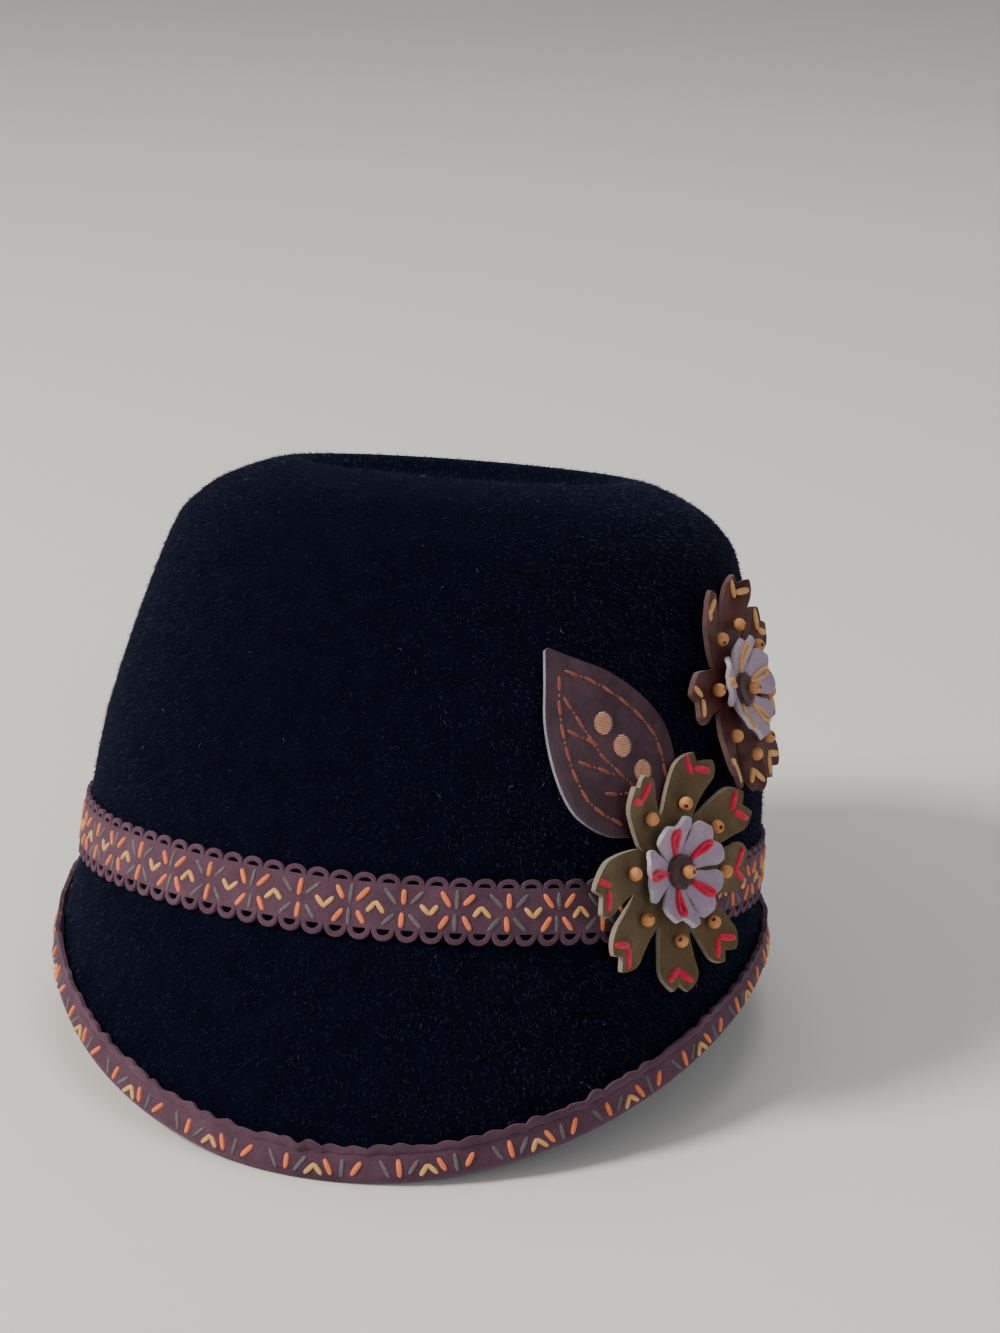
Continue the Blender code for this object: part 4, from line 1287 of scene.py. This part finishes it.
def cut_flower(reaches, root, outline, notch, place_at):
    """All petals of one cut, in the flower's own frame, each with its own reach."""
    whole = bmesh.new()
    half_angle = math.pi / len(reaches)
    rows = ROOT_ROWS + PETAL_ROWS
    for petal, reach in enumerate(reaches):

        def petal_corner(across, along):
            side = 2.0 * across - 1.0
            row = round(along * rows)
            if row <= ROOT_ROWS:
                radius = root * row / ROOT_ROWS
                return place_at(
                    petal, radius * math.cos(half_angle * side), radius * math.sin(half_angle * side))
            cut = between(outline, (row - ROOT_ROWS) / PETAL_ROWS * (len(outline) - 1))
            radius = root + (reach - root) * cut.along
            shorter = PETAL_ROUNDING * abs(side)**PETAL_ROUNDNESS + notch * max(1.0 - 2.0 * abs(side), 0.0)
            outward = radius - (reach - root) * shorter * cut.along**2
            return place_at(petal, outward, cut.half_width * radius * math.tan(half_angle) * side)

        absorb(whole, sheet_of(PETAL_COLUMNS, rows, petal_corner))
    face_outwards(whole, Vector((0.0, 0.0, 1.0)))
    return whole


print("corners along a petal", ROOT_ROWS + PETAL_ROWS + 1)

# %% [markdown]
# The two cuts of a flower are sewn on, the lilac one on top.  A solid mesh could be drawn with its back
# and its edge, but Solidify gives the wall and puts the pale finish on the cut edge.

# %% Sew on both flowers
def sew_on_flower(flower, outer_finish):
    """The outer cut, and the lilac cut on it."""
    place = flower_frame(flower)
    reaches = [flower.reach * length for length in flower.lengths]
    outer = cut_flower(reaches, ROOT_RADIUS, OUTER_OUTLINE, PETAL_NOTCH, outer_petals(flower))
    bmesh.ops.transform(outer, matrix=place, verts=outer.verts)
    made = piece(f"{flower.name}_flower", outer, outer_finish, [f"{flower.name}_outer_flower"])
    give_wall(made, OUTER_WALL, 1.0, rim=1)
    soften_edges(made, OUTER_SOFTNESS)
    reaches = [INNER_REACH] * INNER_PETALS
    inner = cut_flower(reaches, INNER_ROOT_RADIUS, INNER_OUTLINE, INNER_NOTCH, inner_petals(flower))
    bmesh.ops.transform(inner, matrix=place, verts=inner.verts)
    made = piece(
        f"{flower.name}_lilac_flower", inner, [LILAC, LILAC_EDGE],
        [f"{flower.name}_inner_flower"])
    give_wall(made, INNER_WALL, 1.0, rim=1)
    soften_edges(made, INNER_SOFTNESS)


sew_on_flower(LOWER, [OLIVE, OLIVE_EDGE])
sew_on_flower(UPPER, [BURGUNDY, BURGUNDY_EDGE])

# %% [markdown]
# Each outer petal ends in a V of two stitches.  They could be drawn once and copied, but petals lie at
# different angles, so each stitch is laid on the axes of its own petal.

# %% Stitches at the tips
TIP_STRAND = Strand(5.8 * MM, 1.9 * MM, 1.6 * MM)
TIP_LEAN = math.radians(50.0)
TIP_INSET = 4.6 * MM
TIP_STITCH_LENGTHS = (0.9, 1.1)


def petal_frame(place_at, petal, outward, sideways, wall):
    """Axes on a petal's face: Y runs out to the tip and Z off the leather."""
    step = 0.3 * MM
    here = place_at(petal, outward, sideways)
    out = place_at(petal, outward + step, sideways) - here
    side = place_at(petal, outward, sideways - step) - here
    normal = side.cross(out).normalized()
    out.normalize()
    return axes_at(here, out.cross(normal), out, normal) @ Matrix.Translation((0.0, 0.0, wall))


def tip_stitches(flower, thread):
    """Two stitches on each outer petal, which meet towards the middle and part towards the tip."""
    place_at = outer_petals(flower)
    places = []
    for petal in range(OUTER_PETALS):
        for side in (-1.0, 1.0):
            sideways = -side * 0.5 * TIP_STRAND.length * math.sin(TIP_LEAN)
            outward = flower.reach * flower.lengths[petal] - TIP_INSET
            place = petal_frame(place_at, petal, outward, sideways, OUTER_WALL)
            lean = side * TIP_LEAN + hand.uniform(-UNEVEN, UNEVEN)
            strand = TIP_STRAND._replace(length=TIP_STRAND.length * hand.uniform(*TIP_STITCH_LENGTHS))
            places.append(flower_frame(flower) @ stitch_place(place, lean, strand))
    sew(f"{flower.name}_tip_stitches", places, thread)


tip_stitches(LOWER, "crimson")
tip_stitches(UPPER, "ochre")

# %% [markdown]
# Each inner petal has a lazy-daisy stitch: one loop of thread, tied down at its tip.  A curve object
# with a round bevel would do, but a thin sleeve along a drop-shaped route is a plain mesh from the start.

# %% Lazy-daisy stitches
DAISY_START = 5.2 * MM
LOOP_STEPS = 22
LOOP_SIDES = 6
LOOP_SWELL = 1.4
LOOP_SEAT = 0.3
FINE_MERGE = 0.001 * MM


def daisy_stitches(flower, thread):
    """A closed loop of thread on each inner petal."""
    place_at = inner_petals(flower)
    daisy = flower.daisy
    whole = bmesh.new()
    for petal in range(INNER_PETALS):
        places = []
        for index in range(LOOP_STEPS):
            angle = 2.0 * math.pi * index / LOOP_STEPS
            out = DAISY_START + 0.5 * daisy.length * (1.0 - math.cos(angle))
            sideways = daisy.half_width * math.sin(angle) * math.sin(0.5 * angle)**2 * LOOP_SWELL
            seat = INNER_WALL + LOOP_SEAT * daisy.thread
            places.append(petal_frame(place_at, petal, out, sideways, seat))
        rows = []
        for index, place in enumerate(places):
            following = places[(index + 1) % LOOP_STEPS]
            heading = (following.translation - places[index - 1].translation).normalized()
            normal = place.col[2].xyz
            across = heading.cross(normal).normalized()
            rows.append([
                place.translation + daisy.thread * (
                    across * math.cos(2.0 * math.pi * side / LOOP_SIDES)
                    + normal * math.sin(2.0 * math.pi * side / LOOP_SIDES))
                for side in range(LOOP_SIDES)])
        rows.append(rows[0])
        loop = sleeve(rows)
        bmesh.ops.remove_doubles(loop, verts=loop.verts, dist=FINE_MERGE)
        bmesh.ops.recalc_face_normals(loop, faces=loop.faces)
        absorb(whole, loop)
    bmesh.ops.transform(whole, matrix=flower_frame(flower), verts=whole.verts)
    piece(f"{flower.name}_daisy_stitches", whole, [THREAD[thread]])


daisy_stitches(LOWER, "crimson")
daisy_stitches(UPPER, "ochre")

# %% [markdown]
# ## Patches and beads
# The middle of each flower is a scrap of fluffy suede: a flat disc with a few hundred short fibres.  A
# rough bump alone would look flat at its outline, and the fibres use the same spike as the nap.

# %% Fluffy patches
PATCH_RADIUS = 4.6 * MM
PATCH_WALL = 0.9 * MM
PATCH_CLEARANCE = 0.1 * MM
PATCH_TAPER = 0.9
FLUFF_FIBRES = 420
FLUFF_LENGTH = 1.5 * MM
FLUFF_WIDTH = 0.14 * MM
FLUFF_REACH = 0.97
FLUFF_ROOT = 0.6
FLUFF_TURN = 0.9
FLUFF_LEANS = (0.1, 1.2)
FLUFF_LENGTHS = (0.5, 1.0)


def fluffy_patch(flower):
    """A scrap of suede on the inner flower, covered with short fibres."""
    seat = OUTER_WALL + INNER_WALL + 2.0 * GAP + PATCH_CLEARANCE
    disc = bmesh.new()
    bmesh.ops.create_cone(
        disc, cap_ends=True, segments=32, radius1=PATCH_RADIUS, radius2=PATCH_RADIUS * PATCH_TAPER,
        depth=PATCH_WALL)
    bmesh.ops.translate(disc, verts=disc.verts, vec=(0.0, 0.0, seat + 0.5 * PATCH_WALL))
    places = []
    for _ in range(FLUFF_FIBRES):
        angle = hand.uniform(0.0, 2.0 * math.pi)
        radius = PATCH_RADIUS * math.sqrt(hand.random()) * FLUFF_REACH
        height = seat + FLUFF_ROOT * PATCH_WALL
        foot = Matrix.Translation((radius * math.cos(angle), radius * math.sin(angle), height))
        tilt = Matrix.Rotation(angle + hand.uniform(-FLUFF_TURN, FLUFF_TURN), 4, "Z")
        tilt = tilt @ Matrix.Rotation(hand.uniform(*FLUFF_LEANS), 4, "Y")
        length = FLUFF_LENGTH * hand.uniform(*FLUFF_LENGTHS)
        places.append(foot @ tilt @ Matrix.Diagonal((FLUFF_WIDTH, FLUFF_WIDTH, length, 1.0)))
    absorb(disc, joined_copies(hair_template(), places))
    bmesh.ops.transform(disc, matrix=flower_frame(flower), verts=disc.verts)
    piece(f"{flower.name}_fluffy_patch", disc, [PATCH], [f"{flower.name}_centre_patch"])


fluffy_patch(LOWER)
fluffy_patch(UPPER)

# %% [markdown]
# The wooden beads are drilled for their thread, and a few show the hole.  A sphere less a cylinder
# would do, but a boolean leaves a ragged edge.  So a bead is an arc spun about its own axis, with the two
# ends of the hole bridged to give the bore its wall.

# %% Drilled wooden beads
BEAD_RADIUS = 1.8 * MM
BEAD_RING_RADIUS = 17.5 * MM
BORE_RADIUS = 0.6 * MM
BEAD_TILT = 0.95
BEAD_ARC = 10
BEAD_TURNS = 20


def drilled_bead():
    """A bead about Z with a bore through it."""
    shape = bmesh.new()
    start = math.asin(BORE_RADIUS / BEAD_RADIUS)
    arc = []
    for index in range(BEAD_ARC + 1):
        angle = start + (math.pi - 2.0 * start) * index / BEAD_ARC
        arc.append(shape.verts.new((BEAD_RADIUS * math.sin(angle), 0.0, BEAD_RADIUS * math.cos(angle))))
    lines = [shape.edges.new(pair) for pair in zip(arc, arc[1:])]
    bmesh.ops.spin(
        shape, geom=arc + lines, cent=(0.0, 0.0, 0.0), axis=(0.0, 0.0, 1.0), angle=2.0 * math.pi,
        steps=BEAD_TURNS, use_merge=True)
    bmesh.ops.remove_doubles(shape, verts=shape.verts, dist=FINE_MERGE)
    open_edges = [line for line in shape.edges if line.is_boundary]
    bmesh.ops.bridge_loops(shape, edges=open_edges)
    bmesh.ops.recalc_face_normals(shape, faces=shape.faces)
    return shape


def string_beads(flower):
    """All beads of one flower, each on its petal and one in the middle."""
    place_at = outer_petals(flower)
    places = []
    for petal in range(OUTER_PETALS):
        spot = place_at(petal, BEAD_RING_RADIUS, 0.0)
        spot.z = place_at(petal, BEAD_RING_RADIUS + BEAD_RADIUS, 0.0).z + OUTER_WALL + GAP + BEAD_RADIUS
        tilt = Matrix.Rotation(hand.uniform(-BEAD_TILT, BEAD_TILT), 4, "X")
        tilt = tilt @ Matrix.Rotation(hand.uniform(-BEAD_TILT, BEAD_TILT), 4, "Y")
        places.append(Matrix.Translation(spot) @ tilt)
    centre = OUTER_WALL + INNER_WALL + PATCH_WALL + 3.0 * GAP + PATCH_CLEARANCE + BEAD_RADIUS
    places.append(Matrix.Translation((0.0, 0.0, centre)))
    shape = joined_copies(drilled_bead(), places)
    bmesh.ops.transform(shape, matrix=flower_frame(flower), verts=shape.verts)
    solids = [f"{flower.name}_petal_bead_{petal + 1}" for petal in range(OUTER_PETALS)]
    piece(f"{flower.name}_wooden_beads", shape, [WOOD], solids + [f"{flower.name}_centre_bead"])


string_beads(LOWER)
string_beads(UPPER)

# %% [markdown]
# ## Floor, light and camera
# A plain pale floor lets the dark felt stand out.  A curved backdrop would hide the horizon, but the
# camera looks down on the hat, so a wide flat sheet is enough.

# %% Floor
FLOOR_REACH = 6.0
floor_shape = bmesh.new()
bmesh.ops.create_grid(floor_shape, x_segments=1, y_segments=1, size=FLOOR_REACH)
floor_mesh = bpy.data.meshes.new("pale_floor")
floor_shape.to_mesh(floor_mesh)
floor_shape.free()
floor = bpy.data.objects.new("pale_floor", floor_mesh)
bpy.context.scene.collection.objects.link(floor)
floor_finish, floor_shader = shader_of("pale_floor", roughness=0.8, specular=0.2)
floor_shader.inputs["Base Color"].default_value = (0.80, 0.78, 0.74, 1.0)
floor_mesh.materials.append(floor_finish)
print("floor", FLOOR_REACH, "m")

# %% [markdown]
# Three large soft lights show the felt without hard reflections.  The warm key light stands high on the
# left, so the flowers' side falls into a gentle shadow.  A picture of a studio round the scene could
# light it too, but lamps can be moved one by one.

# %% Lights
SKY_STRENGTH = 0.32
HAT_MIDDLE = Vector((0.0, 0.0, 0.07))


def soft_light(name, place, size, power, colour):
    """A round soft lamp that looks at the middle of the hat."""
    lamp = bpy.data.lights.new(name, "AREA")
    lamp.shape = "DISK"
    lamp.size = size
    lamp.energy = power
    lamp.color = colour
    holder = bpy.data.objects.new(name, lamp)
    bpy.context.scene.collection.objects.link(holder)
    holder.location = place
    holder.rotation_euler = (HAT_MIDDLE - Vector(place)).to_track_quat("-Z", "Y").to_euler()


soft_light("key", place=(-1.5, -0.8, 1.35), size=0.6, power=54.0, colour=(1.0, 0.94, 0.87))
soft_light("fill", place=(1.2, -1.4, 0.9), size=1.2, power=9.0, colour=(0.92, 0.96, 1.0))
soft_light("top", place=(-0.1, 0.9, 1.8), size=1.2, power=10.0, colour=(1.0, 0.98, 0.95))
sky = bpy.data.worlds.new("studio")
bpy.context.scene.world = sky
sky.use_nodes = True
sky.node_tree.nodes["Background"].inputs["Color"].default_value = (0.95, 0.96, 1.0, 1.0)
sky.node_tree.nodes["Background"].inputs["Strength"].default_value = SKY_STRENGTH
print("lamps", len(bpy.data.lights))

# %% [markdown]
# The camera was found by fitting the hat's outline to the photograph: its place, its heading, how far it
# looks down, a slight roll, and a focal length counted in pixels of the long side.

# %% Camera
CAMERA_PLACE = Vector((0.14447, -0.74219, 0.36035))
HEADING = math.radians(9.441)
LOOKING_DOWN = math.radians(19.268)
ROLL = math.radians(2.185)
FOCAL_PIXELS = 2965.0
PHOTO_HEIGHT = 1333.0
SENSOR = 36.0
right = Vector((math.cos(HEADING), math.sin(HEADING), 0.0))
forward = Vector((
    -math.sin(HEADING) * math.cos(LOOKING_DOWN), math.cos(HEADING) * math.cos(LOOKING_DOWN),
    -math.sin(LOOKING_DOWN)))
upward = right.cross(forward)
rolled_right = right * math.cos(ROLL) + upward * math.sin(ROLL)
rolled_up = upward * math.cos(ROLL) - right * math.sin(ROLL)
lens = bpy.data.cameras.new("camera")
lens.sensor_width = SENSOR
lens.lens = SENSOR * FOCAL_PIXELS / PHOTO_HEIGHT
camera = bpy.data.objects.new("camera", lens)
bpy.context.scene.collection.objects.link(camera)
camera.matrix_world = axes_at(CAMERA_PLACE, rolled_right, rolled_up, -forward)
bpy.context.scene.camera = camera
print("lens", round(lens.lens, 2), "mm")
